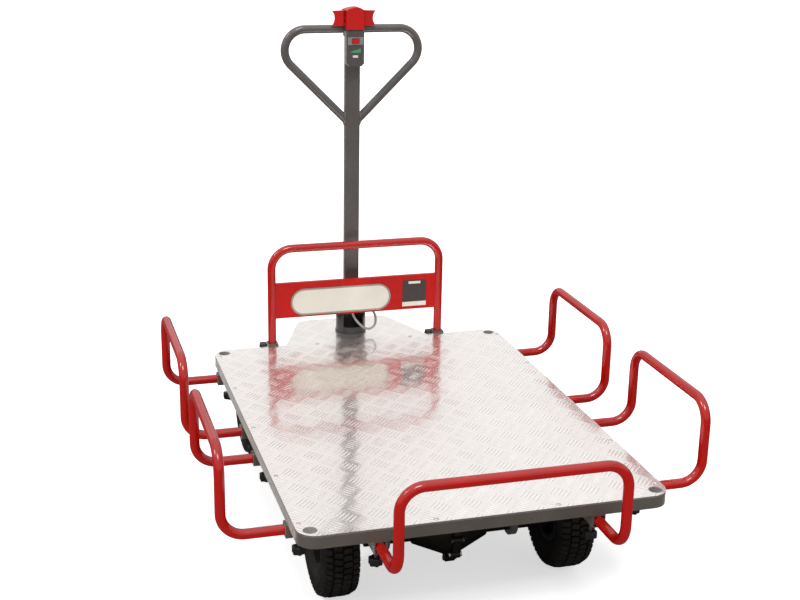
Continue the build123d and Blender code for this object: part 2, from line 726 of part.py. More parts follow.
# Front axle: a fixed beam with a clevis at each end, on two pedestals under the frame
def front_axle():
    half = AXLE_BEAM_SIZE / 2
    web_x = KINGPIN_X - CLEVIS_WEB_SETBACK
    y = (FRONT_AXLE_Y - half, FRONT_AXLE_Y + half)
    axle = square_tube((-web_x, web_x), y, (AXLE_Z - half, AXLE_Z + half), AXLE_BEAM_WALL, "x")
    reach = CLEVIS_GAP / 2 + CLEVIS_PLATE
    for side in (-1, 1):
        web = sorted((side * web_x, side * (web_x + CLEVIS_PLATE)))
        clevis_y = (FRONT_AXLE_Y - CLEVIS_RADIUS, FRONT_AXLE_Y + CLEVIS_RADIUS)
        axle += block(web, clevis_y, (AXLE_Z - reach, AXLE_Z + reach))
        for low in (-reach, CLEVIS_GAP / 2):
            z = (AXLE_Z + low, AXLE_Z + low + CLEVIS_PLATE)
            ear = block(sorted((side * web_x, side * KINGPIN_X)), clevis_y, z)
            ear += around_z(side * KINGPIN_X, FRONT_AXLE_Y, CLEVIS_RADIUS, z)
            bore = KINGPIN_RADIUS + RUNNING_FIT
            axle += ear - around_z(side * KINGPIN_X, FRONT_AXLE_Y, bore, (z[0] - 1, z[1] + 1))
        pedestal_x = (side * PEDESTAL_X - PEDESTAL_WIDTH / 2, side * PEDESTAL_X + PEDESTAL_WIDTH / 2)
        pedestal_y = (FRONT_AXLE_Y - PEDESTAL_DEPTH / 2, FRONT_AXLE_Y + PEDESTAL_DEPTH / 2)
        axle += square_tube(pedestal_x, pedestal_y, (AXLE_Z + half, FRAME_BOTTOM), AXLE_BEAM_WALL, "z")
    return axle


def kingpin():
    reach = CLEVIS_GAP / 2 + CLEVIS_PLATE
    head = (KINGPIN_HEAD_RADIUS, reach + KINGPIN_HEAD_HEIGHT)
    pin = turned_upright(
        [
            (0, -head[1]),
            (head[0], -head[1]),
            (head[0], -reach),
            (KINGPIN_RADIUS, -reach),
            (KINGPIN_RADIUS, reach),
            (head[0], reach),
            head,
            (0, head[1]),
        ]
    )
    return Pos(KINGPIN_X, FRONT_AXLE_Y, AXLE_Z) * pin


def link_pin(x, y):
    """An upright pin on a steering arm, with a head over the rod's eye."""
    head = (ROD_TOP + FIT, ROD_TOP + FIT + LINK_PIN_HEAD_HEIGHT)
    pin = around_z(x, y, LINK_PIN_RADIUS, (ARM_TOP - 1, head[1]))
    return pin + around_z(x, y, LINK_PIN_HEAD_RADIUS, head)


def knuckle():
    """The right steering knuckle: boss, stub axle with its nut, and the arm that points forward."""
    boss_half = CLEVIS_GAP / 2 - FIT
    boss = around_z(KINGPIN_X, FRONT_AXLE_Y, KNUCKLE_RADIUS, (AXLE_Z - boss_half, AXLE_Z + boss_half))
    hub_inner = FRONT_WHEEL_X - HUB_INNER - FIT
    nut = FRONT_WHEEL_X + HUB_OUTER + FIT
    stub = turned(
        [
            (KINGPIN_X, 0),
            (KINGPIN_X, STUB_SHOULDER_RADIUS),
            (hub_inner, STUB_SHOULDER_RADIUS),
            (hub_inner, STUB_AXLE_RADIUS),
            (nut, STUB_AXLE_RADIUS),
            (nut, NUT_RADIUS),
            (nut + NUT_LENGTH, NUT_RADIUS),
            (nut + NUT_LENGTH, 0),
        ]
    )
    pin_x, pin_y = KINGPIN_X + STEERING_ARM_SPREAD, FRONT_AXLE_Y + STEERING_ARM_REACH
    ends = [(KINGPIN_X, FRONT_AXLE_Y, KNUCKLE_RADIUS), (pin_x, pin_y, STEERING_ARM_END_RADIUS)]
    arm = link_plate(ends, (ARM_BOTTOM, ARM_TOP)) + link_pin(pin_x, pin_y)
    bore = around_z(KINGPIN_X, FRONT_AXLE_Y, KINGPIN_RADIUS + RUNNING_FIT, (0, DECK_HEIGHT))
    return boss + Pos(0, FRONT_AXLE_Y, AXLE_Z) * stub + arm - bore


def tie_rod():
    """The right tie rod. Column, kingpin, pitman pin and knuckle pin stand on a parallelogram."""
    start = Vector(STEERING_ARM_SPREAD, COLUMN_Y + STEERING_ARM_REACH)
    end = Vector(KINGPIN_X + STEERING_ARM_SPREAD, FRONT_AXLE_Y + STEERING_ARM_REACH)
    run = end - start
    middle = (ROD_BOTTOM + ROD_TOP) / 2
    bar = Rot(0, 90, 0) * Cylinder(ROD_RADIUS, run.length)
    turn = math.degrees(math.atan2(run.Y, run.X))
    rod = Pos((start.X + end.X) / 2, (start.Y + end.Y) / 2, middle) * Rot(0, 0, turn) * bar
    for x, y in ((start.X, start.Y), (end.X, end.Y)):
        rod += around_z(x, y, ROD_EYE_RADIUS, (ROD_BOTTOM, ROD_TOP))
    rod -= around_z(start.X, start.Y, LINK_PIN_RADIUS + RUNNING_FIT, (ROD_BOTTOM - 1, ROD_TOP + 1))
    return rod - around_z(end.X, end.Y, LINK_PIN_RADIUS + FIT, (ROD_BOTTOM - 1, ROD_TOP + 1))


keep("front_axle", front_axle())
keep("kingpins", kingpin(), mirrored(kingpin()))
for side, place in (("right", lambda shape: shape), ("left", mirrored)):
    keep(f"{side}_knuckle", place(knuckle()))
    keep(f"{side}_tie_rod", place(tie_rod()))


# Steering column: bearing housing under a round flange, shaft, slotted yoke, pitman arm
def bearing_housing():
    flange_top = DECK_HEIGHT + HOUSING_FLANGE_THICKNESS
    housing = turned_upright(
        [
            (HOUSING_LIP_RADIUS, HOUSING_BOTTOM),
            (HOUSING_RADIUS, HOUSING_BOTTOM),
            (HOUSING_RADIUS, DECK_HEIGHT),
            (HOUSING_FLANGE_RADIUS, DECK_HEIGHT),
            (HOUSING_FLANGE_RADIUS, flange_top),
            (COLUMN_BEARING_RADIUS, flange_top),
            (COLUMN_BEARING_RADIUS, HOUSING_BOTTOM + HOUSING_LIP),
            (HOUSING_LIP_RADIUS, HOUSING_BOTTOM + HOUSING_LIP),
        ]
    )
    return Pos(0, COLUMN_Y) * housing


def column_bearings():
    inner = COLUMN_RADIUS + RUNNING_FIT
    outer = COLUMN_BEARING_RADIUS - RUNNING_FIT
    top = DECK_HEIGHT + HOUSING_FLANGE_THICKNESS
    bottoms = (HOUSING_BOTTOM + HOUSING_LIP, top - COLUMN_BEARING_HEIGHT)
    return [
        Pos(0, COLUMN_Y, bottom)
        * turned_upright(
            [(inner, 0), (outer, 0), (outer, COLUMN_BEARING_HEIGHT), (inner, COLUMN_BEARING_HEIGHT)]
        )
        for bottom in bottoms
    ]


def steering_column():
    """The shaft, its lower nut, and the tiller's slotted yoke, which has a low web at its far side."""
    shaft = turned_upright(
        [
            (0, ARM_BOTTOM - COLUMN_NUT_HEIGHT),
            (COLUMN_NUT_RADIUS, ARM_BOTTOM - COLUMN_NUT_HEIGHT),
            (COLUMN_NUT_RADIUS, ARM_BOTTOM),
            (COLUMN_RADIUS, ARM_BOTTOM),
            (COLUMN_RADIUS, YOKE_BOTTOM),
            (0, YOKE_BOTTOM),
        ]
    )
    top = PIVOT_Z + YOKE_TOP_RADIUS
    body = around_z(0, 0, YOKE_RADIUS, (YOKE_BOTTOM, top))
    waist = Pos(0, YOKE_BOTTOM + YOKE_WAIST / 2) * Rectangle(2 * YOKE_RADIUS, YOKE_WAIST)
    arch = Pos(0, PIVOT_Z) * Circle(YOKE_TOP_RADIUS)
    side_view = make_hull([*waist.edges(), *arch.edges()])
    body &= extrude(Plane.YZ * side_view, YOKE_RADIUS + 1, both=True)
    slot = YOKE_SLOT_WIDTH / 2
    floor = YOKE_BOTTOM + YOKE_FLOOR
    body -= block((-slot, slot), (-YOKE_RADIUS - 1, YOKE_RADIUS + 1), (floor, top + 1))
    web_end = YOKE_WEB_SETBACK + YOKE_WEB_THICKNESS
    body += block((-slot, slot), (YOKE_WEB_SETBACK, web_end), (floor, PIVOT_Z - YOKE_WEB_DROP))
    body -= Pos(0, 0, PIVOT_Z) * Rot(0, 90, 0) * Cylinder(PIVOT_PIN_RADIUS + RUNNING_FIT, 3 * YOKE_RADIUS)
    return Pos(0, COLUMN_Y) * (shaft + body)


def pivot_pin():
    head = YOKE_RADIUS + RUNNING_FIT
    end = head + PIVOT_HEAD_THICKNESS
    pin = turned(
        [
            (-end, 0),
            (-end, PIVOT_HEAD_RADIUS),
            (-head, PIVOT_HEAD_RADIUS),
            (-head, PIVOT_PIN_RADIUS),
            (head, PIVOT_PIN_RADIUS),
            (head, PIVOT_HEAD_RADIUS),
            (end, PIVOT_HEAD_RADIUS),
            (end, 0),
        ]
    )
    return Pos(0, COLUMN_Y, PIVOT_Z) * pin


def pitman_arm():
    pin_y = COLUMN_Y + STEERING_ARM_REACH
    pins = [(side * STEERING_ARM_SPREAD, pin_y, STEERING_ARM_END_RADIUS) for side in (-1, 1)]
    arm = link_plate([(0, COLUMN_Y, PITMAN_BOSS_RADIUS), *pins], (ARM_BOTTOM, ARM_TOP))
    arm -= around_z(0, COLUMN_Y, COLUMN_RADIUS + RUNNING_FIT, (ARM_BOTTOM - 1, ARM_TOP + 1))
    for x, y, _ in pins:
        arm += link_pin(x, y)
    return arm


keep("bearing_housing", bearing_housing())
keep("column_bearings", *column_bearings())
keep("steering_column", steering_column())
keep("pivot_pin", pivot_pin())
keep("pitman_arm", pitman_arm())


# Tiller: upright post on a pivot barrel, closed loop handle, control housing
def tiller_post():
    half_width, half_depth = POST_WIDTH / 2, POST_DEPTH / 2
    top = HANDLE_Z - HANDLE_DIAMETER / 2 - RUNNING_FIT
    post = square_tube((-half_width, half_width), (-half_depth, half_depth), (PIVOT_Z, top), POST_WALL, "z")
    corners = [e for e in post.edges().filter_by(Axis.Z) if abs(e.center().X) > half_width - 1]
    post = fillet(corners, POST_CORNER_RADIUS)
    barrel_length = YOKE_SLOT_WIDTH - 2 * FIT
    post += Pos(0, 0, PIVOT_Z) * Rot(0, 90, 0) * Cylinder(BARREL_RADIUS, barrel_length)
    post -= Pos(0, 0, PIVOT_Z) * Rot(0, 90, 0) * Cylinder(PIVOT_PIN_RADIUS + RUNNING_FIT, barrel_length + 2)
    return Pos(0, COLUMN_Y) * post


def handle_loop():
    """A top bar with two slanted legs that run down to the sides of the post."""
    radius = HANDLE_BEND_RADIUS
    bend_x = HANDLE_OUTER_WIDTH / 2 - HANDLE_DIAMETER / 2 - radius
    join = Vector(POST_WIDTH / 2, DECK_HEIGHT + HANDLE_JOIN_RISE)
    to_bend = Vector(bend_x, HANDLE_Z - radius) - join
    lean = math.atan2(to_bend.X, to_bend.Y) + math.asin(radius / to_bend.length)
    corner_x = join.X + (HANDLE_Z - join.Y) * math.tan(lean)
    start_x = join.X - HANDLE_DIAMETER
    start_z = join.Y - HANDLE_DIAMETER / math.tan(lean)
    points = [
        (-start_x, COLUMN_Y, start_z),
        (-corner_x, COLUMN_Y, HANDLE_Z),
        (corner_x, COLUMN_Y, HANDLE_Z),
        (start_x, COLUMN_Y, start_z),
    ]
    loop = bent_rod(points, radius, HANDLE_DIAMETER)
    half_width = POST_WIDTH / 2
    post_ys = (COLUMN_Y - POST_WIDTH, COLUMN_Y + POST_WIDTH)
    loop -= block((-half_width, half_width), post_ys, (0, HANDLE_Z - radius))
    return loop


def control_housing():
    """The box on the post's rear face, and the head that wraps the middle of the bar."""
    half = CONTROL_WIDTH / 2
    bottom, top = DECK_HEIGHT + CONTROL_BOTTOM_RISE, DECK_HEIGHT + CONTROL_TOP_RISE
    box = block((-half, half), (CONTROL_FRONT_Y, COLUMN_Y - POST_DEPTH / 2), (bottom, top))
    box = chamfer(box.edges().filter_by(Axis.Y).group_by(Axis.Z)[0], CONTROL_CHAMFER)
    box = fillet(box.edges().filter_by(Axis.Z).group_by(Axis.Y)[0], CONTROL_CORNER_RADIUS)
    head_half = HEAD_WIDTH / 2
    head = block(
        (-head_half, head_half),
        (COLUMN_Y - HEAD_FRONT, COLUMN_Y + HEAD_BACK),
        (DECK_HEIGHT + HEAD_BOTTOM_RISE, DECK_HEIGHT + HEAD_TOP_RISE),
    )
    bar_bore = HANDLE_DIAMETER / 2 + RUNNING_FIT
    head -= Pos(0, COLUMN_Y, HANDLE_Z) * Rot(0, 90, 0) * Cylinder(bar_bore, 2 * HEAD_WIDTH)
    post_top = HANDLE_Z - HANDLE_DIAMETER / 2
    head -= block(
        (-POST_WIDTH / 2 - FIT, POST_WIDTH / 2 + FIT),
        (COLUMN_Y - POST_DEPTH / 2, COLUMN_Y + HEAD_BACK + 1),
        (DECK_HEIGHT, post_top),
    )
    shaft = Pos(0, COLUMN_Y - PADDLE_AXIS_FRONT, DECK_HEIGHT + PADDLE_AXIS_RISE) * Rot(0, 90, 0)
    head -= shaft * Cylinder(PADDLE_SHAFT_RADIUS + RUNNING_FIT, 2 * HEAD_WIDTH)
    pocket = extrude(button_outline(FIT), PANEL_BUTTON_DEPTH)
    housing = box + head - Pos(0, CONTROL_FRONT_Y, 0) * pocket
    return housing


def button_outline(grow=0.0):
    """The panel button's oval, standing on the control housing's face."""
    oval = SlotOverall(PANEL_BUTTON_WIDTH + 2 * grow, PANEL_BUTTON_HEIGHT + 2 * grow)
    face_plane = Plane(origin=(0, 0, DECK_HEIGHT + PANEL_BUTTON_RISE), x_dir=(-1, 0, 0), z_dir=(0, 1, 0))
    return face_plane * oval


def panel_button():
    body = extrude(button_outline(), PANEL_BUTTON_PROUD + PANEL_BUTTON_DEPTH - PANEL_BUTTON_TRAVEL - FIT)
    return Pos(0, CONTROL_FRONT_Y - PANEL_BUTTON_PROUD, 0) * body


def safety_button():
    """A cap over the head, arched on top and falling away at the back. It clears the bar and the shaft."""
    half = SAFETY_BUTTON_WIDTH / 2
    front = -HEAD_FRONT - FIT - SAFETY_BUTTON_WALL
    back = HEAD_BACK + FIT + SAFETY_BUTTON_WALL
    bottom = DECK_HEIGHT + SAFETY_BUTTON_BOTTOM_RISE
    ceiling = DECK_HEIGHT + SAFETY_BUTTON_CEILING_RISE
    shoulder = DECK_HEIGHT + SAFETY_BUTTON_SHOULDER_RISE
    top = DECK_HEIGHT + SAFETY_BUTTON_TOP_RISE
    fall_end = DECK_HEIGHT + SAFETY_BUTTON_BACK_RISE
    crown = ThreePointArc((half, shoulder), (0, top), (-half, shoulder))
    sides = Polyline((-half, shoulder), (-half, bottom), (half, bottom), (half, shoulder))
    profile = make_face([*crown.edges(), *sides.edges()])
    cap = Pos(0, back) * extrude(Plane.XZ * profile, back - front)
    fall = Polyline((SAFETY_BUTTON_FALL_START, top), (back, fall_end), (back, top), close=True)
    cap -= extrude(Plane.YZ * make_face(fall), half, both=True)
    rounded = cap.edges().filter_by(GeomType.CIRCLE).group_by(Axis.Y)[0]
    rounded += cap.edges().filter_by(Axis.Z).group_by(Axis.Y)[0]
    cap = fillet(rounded, SAFETY_BUTTON_EDGE_RADIUS)
    inner = HEAD_WIDTH / 2 + FIT
    cap -= block((-inner, inner), (-HEAD_FRONT - FIT, HEAD_BACK + FIT), (bottom - 1, ceiling))
    room = SAFETY_BUTTON_TRAVEL + SAFETY_BUTTON_CLEARANCE
    bar_front = -HANDLE_DIAMETER / 2 - SAFETY_BUTTON_CLEARANCE
    cap -= block((-half, half), (bar_front, back), (bottom - 1, HANDLE_Z + HANDLE_DIAMETER / 2 + room))
    shaft_room = PADDLE_SHAFT_RADIUS + SAFETY_BUTTON_CLEARANCE
    slot_top = DECK_HEIGHT + PADDLE_AXIS_RISE + PADDLE_SHAFT_RADIUS + room
    slot_y = (-PADDLE_AXIS_FRONT - shaft_room, -PADDLE_AXIS_FRONT + shaft_room)
    cap -= block((-half, half), slot_y, (bottom - 1, slot_top))
    return Pos(0, COLUMN_Y) * cap


def throttle():
    """Two paddles on one shaft through the head, round at the root, thin and hollowed at the outer end."""
    inner = SAFETY_BUTTON_WIDTH / 2 + FIT
    outer = PADDLE_SPAN / 2
    root, tip = PADDLE_ROOT_HEIGHT / 2, PADDLE_TIP_HEIGHT / 2
    root_round = Pos(inner + PADDLE_ROOT_RADIUS) * Circle(PADDLE_ROOT_RADIUS)
    tip_round = Pos(outer - PADDLE_TIP_RADIUS) * Rot(0, 0, 180) * Circle(PADDLE_TIP_RADIUS)
    paddle = extrude(make_hull([*root_round.edges(), *tip_round.edges()]), root, both=True)
    edge = ThreePointArc((outer, tip), (outer - PADDLE_NOTCH, 0), (outer, -tip))
    rest = Polyline((outer, -tip), (inner, -root), (inner, root), (outer, tip))
    paddle &= extrude(Plane.XZ * make_face([*edge.edges(), *rest.edges()]), 2 * PADDLE_ROOT_RADIUS, both=True)
    shaft = Rot(0, 90, 0) * Cylinder(PADDLE_SHAFT_RADIUS, 2 * inner + 2)
    place = Pos(0, COLUMN_Y - PADDLE_AXIS_FRONT, DECK_HEIGHT + PADDLE_AXIS_RISE)
    return place * (paddle + mirrored(paddle) + shaft)


keep("tiller_post", tiller_post())
keep("handle_loop", handle_loop())
keep("control_housing", control_housing())
keep("panel_button", panel_button())
keep("safety_button", safety_button())
keep("throttle", throttle())


# The control cable: out of the post's face, down in a slack loop and into the side of the yoke
def control_cable():
    """Points are (x, y, z) from the column's axis at deck height; the last run meets the yoke squarely."""
    gland = math.radians(CABLE_GLAND_ANGLE)
    side = Vector(math.cos(gland), math.sin(gland)) * (YOKE_RADIUS + RUNNING_FIT)
    outside = side * (1 + CABLE_GLAND_RUN / side.length)
    route = [
        (-8, -POST_DEPTH / 2, 122),
        (-8, -27, 122),
        (-9, -39, 111),
        (-10, -43, 92),
        (-9, -46, 73),
        (-2, -49, 53),
        (10, -51, 37),
        (23, -50, 24),
        (40, -47, 15),
        (57, -44, 22),
        (63, -40, 40),
        (60, -33, 58),
        (outside.X, outside.Y, 66),
        (side.X, side.Y, 66),
    ]
    points = [Vector(x, COLUMN_Y + y, DECK_HEIGHT + z) for x, y, z in route]
    radii = []
    for before, here, after in zip(points, points[1:], points[2:]):
        turn = math.radians((here - before).get_angle(after - here))
        shorter = min((here - before).length, (after - here).length)
        radii.append(CABLE_ARC_SHARE * shorter / math.tan(turn / 2))
    return bent_rod(points, radii, CABLE_DIAMETER)


keep("control_cable", control_cable())


# Batteries in a folded tray, and the finned motor controller, under the deck
def battery_tray():
    """An open box with flanges that hang it from two cross members."""
    depth = BATTERY_HEIGHT + BATTERY_HEADROOM + TRAY_WALL
    z = (FRAME_BOTTOM - depth, FRAME_BOTTOM)
    x = (-TRAY_WIDTH / 2, TRAY_WIDTH / 2)
    y = (BATTERY_Y - TRAY_LENGTH / 2, BATTERY_Y + TRAY_LENGTH / 2)
    tray = block(x, y, z)
    inside = [(low + TRAY_WALL, high - TRAY_WALL) for low, high in (x, y)]
    tray -= block(*inside, (z[0] + TRAY_WALL, z[1] + 1))
    flange_z = (FRAME_BOTTOM - TRAY_WALL, FRAME_BOTTOM)
    tray += block(x, (y[0] - TRAY_FLANGE, y[0]), flange_z)
    return tray + block(x, (y[1], y[1] + TRAY_FLANGE), flange_z)


def batteries():
    x = (BATTERY_WIDTH + BATTERY_GAP) / 2
    z = FRAME_BOTTOM - BATTERY_HEADROOM - BATTERY_HEIGHT / 2
    size = (BATTERY_WIDTH, BATTERY_LENGTH, BATTERY_HEIGHT)
    return [Pos(side * x, BATTERY_Y, z) * Box(*size) for side in (-1, 1)]


def controller():
    half_width, half_length = CONTROLLER_WIDTH / 2, CONTROLLER_LENGTH / 2
    y = REAR_Y + CONTROLLER_MIDDLE
    bottom = FRAME_BOTTOM - CONTROLLER_HEIGHT
    body = block((-half_width, half_width), (y - half_length, y + half_length), (bottom, FRAME_BOTTOM))
    pitch = CONTROLLER_WIDTH / CONTROLLER_FINS
    slot_y = (y - half_length - 1, y + half_length + 1)
    slot_z = (bottom - 1, bottom + CONTROLLER_FIN_HEIGHT)
    for number in range(1, CONTROLLER_FINS):
        x = number * pitch - half_width
        body -= block((x - pitch / 4, x + pitch / 4), slot_y, slot_z)
    return body


keep("battery_tray", battery_tray())
keep("batteries", *batteries())
keep("controller", controller())
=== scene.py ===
import math

import bmesh
import bpy
from mathutils import Matrix, Vector


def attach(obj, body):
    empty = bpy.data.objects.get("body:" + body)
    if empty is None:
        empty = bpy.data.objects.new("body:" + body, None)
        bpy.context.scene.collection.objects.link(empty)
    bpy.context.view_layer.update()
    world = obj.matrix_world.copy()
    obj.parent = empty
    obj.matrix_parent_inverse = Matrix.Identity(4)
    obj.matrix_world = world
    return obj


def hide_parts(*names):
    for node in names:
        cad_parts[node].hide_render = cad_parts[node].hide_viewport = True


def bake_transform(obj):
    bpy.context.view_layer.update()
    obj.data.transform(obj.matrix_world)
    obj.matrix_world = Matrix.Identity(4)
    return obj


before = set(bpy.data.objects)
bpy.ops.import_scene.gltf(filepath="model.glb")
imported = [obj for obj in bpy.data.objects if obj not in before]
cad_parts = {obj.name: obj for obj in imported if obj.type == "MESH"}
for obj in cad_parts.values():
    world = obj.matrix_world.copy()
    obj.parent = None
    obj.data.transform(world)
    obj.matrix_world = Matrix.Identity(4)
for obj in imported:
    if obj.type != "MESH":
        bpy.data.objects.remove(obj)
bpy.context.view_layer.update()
scene = bpy.context.scene
scene.view_settings.view_transform = "Standard"


# The studio: a wide pale floor and a white backdrop in soft daylight, from the left and from overhead.
# Gloss sees the floor and the foot of the room dimmer, and the ceiling brighter. The camera looks from the
# loading end, a little left.
def place(tree, kind, inputs=None, **settings):
    """Adds a node, sets its plain properties, and fills in or links its inputs."""
    made = tree.nodes.new("ShaderNode" + kind)
    for name, value in settings.items():
        setattr(made, name, value)
    for key, value in (inputs or {}).items():
        if isinstance(value, bpy.types.NodeSocket):
            tree.links.new(value, made.inputs[key])
        else:
            made.inputs[key].default_value = value
    return made


def reckon(tree, operation, *values, clamp=False):
    """One step of arithmetic on node values."""
    return place(tree, "Math", dict(enumerate(values)), operation=operation, use_clamp=clamp).outputs[0]


def spread(tree, value, low, high, to_low=0.0, to_high=1.0):
    """Stretches a value from one range to another, and holds it there."""
    return place(tree, "MapRange", {0: value, 1: low, 2: high, 3: to_low, 4: to_high}).outputs[0]


def shade(red, green, blue):
    """A colour as a paint chart gives it, 0 to 255, made linear."""
    parts = [part / 255 for part in (red, green, blue)]
    return (*[p / 12.92 if p <= 0.04045 else ((p + 0.055) / 1.055) ** 2.4 for p in parts], 1.0)


def tint(tree, amount, first, second):
    """Goes from the first colour to the second."""
    return place(tree, "Mix", {0: amount, 6: first, 7: second}, data_type="RGBA").outputs[2]


def noise(tree, where, scale, detail=2.0):
    """A cloudy value, about a half on the whole."""
    return place(tree, "TexNoise", {"Vector": where, "Scale": scale, "Detail": detail}).outputs[0]


def start_material(name):
    """A new material. Gives it, its nodes, its shader and the place on the piece."""
    material = bpy.data.materials.new(name)
    material.use_nodes = True
    tree = material.node_tree
    return material, tree, tree.nodes["Principled BSDF"], place(tree, "TexCoord").outputs["Object"]


WHITE = (1.0, 1.0, 1.0, 1.0)
sky = bpy.data.worlds.new("studio_sky")
sky.use_nodes = True
scene.world = sky
sky_tree = sky.node_tree
sky_path = place(sky_tree, "LightPath").outputs
sky_way = place(sky_tree, "SeparateXYZ", {0: place(sky_tree, "TexCoord").outputs["Generated"]}).outputs
backdrop = reckon(sky_tree, "ADD", sky_path["Is Camera Ray"], sky_path["Is Transmission Ray"], clamp=True)
around = spread(sky_tree, sky_way["Z"], 0.02, 0.17, -0.35, 0.5)
above = spread(sky_tree, sky_way["Z"], 0.50, 0.80, -0.25, 1.3)
mirrored = reckon(sky_tree, "MAXIMUM", around, above)
sky_strength = reckon(sky_tree, "MULTIPLY_ADD", backdrop, 0.5, 0.5)
sky_strength = reckon(sky_tree, "MULTIPLY_ADD", sky_path["Is Glossy Ray"], mirrored, sky_strength)
sky_tree.nodes["Background"].inputs["Color"].default_value = WHITE
sky_tree.links.new(sky_strength, sky_tree.nodes["Background"].inputs["Strength"])


def sunlight(name, strength, softness, travel):
    """A lamp as wide as a window, given in degrees, whose light travels this way."""
    lamp = bpy.data.lights.new(name, "SUN")
    lamp.energy = strength
    lamp.angle = math.radians(softness)
    obj = bpy.data.objects.new(name, lamp)
    scene.collection.objects.link(obj)
    obj.rotation_euler = Vector(travel).to_track_quat("-Z", "Y").to_euler()


sunlight("window_left", 0.90, 14, (0.85, 0.05, -0.80))
sunlight("lamp_overhead", 1.30, 18, (0.10, 0.56, -0.82))

FLOOR_RADIUS = 40
FLOOR_DIM = 0.90
FLOOR_GLOW = 0.60
floor_shape = bmesh.new()
bmesh.ops.create_circle(floor_shape, cap_ends=True, segments=96, radius=FLOOR_RADIUS)
floor_mesh = bpy.data.meshes.new("studio_floor")
floor_shape.to_mesh(floor_mesh)
floor_shape.free()
studio_floor = bpy.data.objects.new("studio_floor", floor_mesh)
scene.collection.objects.link(studio_floor)
floor_paint, floor_tree, floor_shader, floor_where = start_material("studio_floor")
floor_cloud = noise(floor_tree, floor_where, 2.0, 3.0)
floor_tone = tint(floor_tree, floor_cloud, shade(248, 248, 248), shade(251, 251, 251))
floor_path = place(floor_tree, "LightPath").outputs
floor_dim = reckon(floor_tree, "MULTIPLY", floor_path["Is Glossy Ray"], FLOOR_DIM)
floor_colour = tint(floor_tree, floor_dim, floor_tone, shade(56, 56, 56))
floor_tree.links.new(floor_colour, floor_shader.inputs["Base Color"])
floor_shader.inputs["Roughness"].default_value = 0.9
floor_shader.inputs["Specular IOR Level"].default_value = 0.0
floor_shader.inputs["Emission Color"].default_value = WHITE
floor_glow = reckon(floor_tree, "MULTIPLY", floor_path["Is Camera Ray"], FLOOR_GLOW)
floor_tree.links.new(floor_glow, floor_shader.inputs["Emission Strength"])
floor_mesh.materials.append(floor_paint)

EYE_SPOT = (-0.8969, -2.9252, 1.5426)
eye_yaw, eye_pitch, eye_roll = (math.radians(angle) for angle in (16.45, 17.72, 1.0))
eye = bpy.data.cameras.new("eye")
eye.lens = 61.53
eye.sensor_width = 36
camera = bpy.data.objects.new("eye", eye)
scene.collection.objects.link(camera)
camera.matrix_world = (
    Matrix.Translation(EYE_SPOT)
    @ Matrix.Rotation(-eye_yaw, 4, "Z")
    @ Matrix.Rotation(math.pi / 2 - eye_pitch, 4, "X")
    @ Matrix.Rotation(eye_roll, 4, "Z")
)
scene.camera = camera


# The welded frame: rectangular steel tube with rounded corner pieces, the nose tubes and the square
# rail sockets, all sprayed in one satin taupe-grey coat that flows a little unevenly.
def start_group(name, inputs, outputs):
    """An empty effect with named sockets. Gives the group, what comes in and what goes out."""
    group = bpy.data.node_groups.new(name, "ShaderNodeTree")
    for label, kind in inputs.items():
        group.interface.new_socket(label, in_out="INPUT", socket_type="NodeSocket" + kind)
    for label, kind in outputs.items():
        group.interface.new_socket(label, in_out="OUTPUT", socket_type="NodeSocket" + kind)
    return group, group.nodes.new("NodeGroupInput").outputs, group.nodes.new("NodeGroupOutput").inputs


coat, coat_in, coat_out = start_group(
    "sprayed_coat",
    {"Place": "Vector", "Colour": "Color", "Deep colour": "Color", "Gloss": "Float", "Peel": "Float"},
    {"Colour": "Color", "Roughness": "Float", "Height": "Float"},
)
coat_cloud = noise(coat, coat_in["Place"], 14.0, 4.0)
coat_speck = noise(coat, coat_in["Place"], 420.0, 1.0)
cloud_mix = spread(coat, coat_cloud, 0.32, 0.68, 0.0, 0.8)
speck_mix = spread(coat, coat_speck, 0.6, 0.8, 0.0, 0.2)
coat_mix = reckon(coat, "ADD", cloud_mix, speck_mix)
coat.links.new(tint(coat, coat_mix, coat_in["Colour"], coat_in["Deep colour"]), coat_out["Colour"])
coat_rough = reckon(coat, "ADD", coat_in["Gloss"], spread(coat, coat_cloud, 0.3, 0.7, -0.05, 0.07))
coat.links.new(coat_rough, coat_out["Roughness"])
coat.links.new(noise(coat, coat_in["Place"], coat_in["Peel"]), coat_out["Height"])

SHEEN_ROUGHNESS = 0.30
SHEEN_TINT = shade(255, 252, 244)


def coated(name, colour, deep, gloss, peel=320.0, depth=0.00004, specular=0.5, metallic=0.0, sheen=0.0):
    """A sprayed finish: a clouded colour, an uneven gloss and the skin of an orange. The sheen is the pale,
    dusty look that a coat takes on where it is seen along its surface."""
    material, tree, shader, where = start_material(name)
    coat_values = {"Place": where, "Colour": colour, "Deep colour": deep, "Gloss": gloss, "Peel": peel}
    coat_made = place(tree, "Group", coat_values, node_tree=coat).outputs
    bump = place(tree, "Bump", {"Height": coat_made["Height"], "Distance": depth})
    tree.links.new(coat_made["Colour"], shader.inputs["Base Color"])
    tree.links.new(coat_made["Roughness"], shader.inputs["Roughness"])
    tree.links.new(bump.outputs["Normal"], shader.inputs["Normal"])
    shader.inputs["Specular IOR Level"].default_value = specular
    shader.inputs["Metallic"].default_value = metallic
    if sheen:
        shader.inputs["Sheen Weight"].default_value = sheen
        shader.inputs["Sheen Roughness"].default_value = SHEEN_ROUGHNESS
        shader.inputs["Sheen Tint"].default_value = SHEEN_TINT
    return material


def dress(material, *nodes):
    """Gives the CAD nodes their finish."""
    for name in nodes:
        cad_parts[name].material_slots[0].material = material


frame_paint = coated("frame_paint", shade(90, 84, 77), shade(79, 73, 67), 0.30, specular=0.3, sheen=0.85)
dress(frame_paint, "frame_corners", "frame_tubes", "nose_frame", "rail_sockets")
dress(frame_paint, "axle_hangers", "battery_tray")


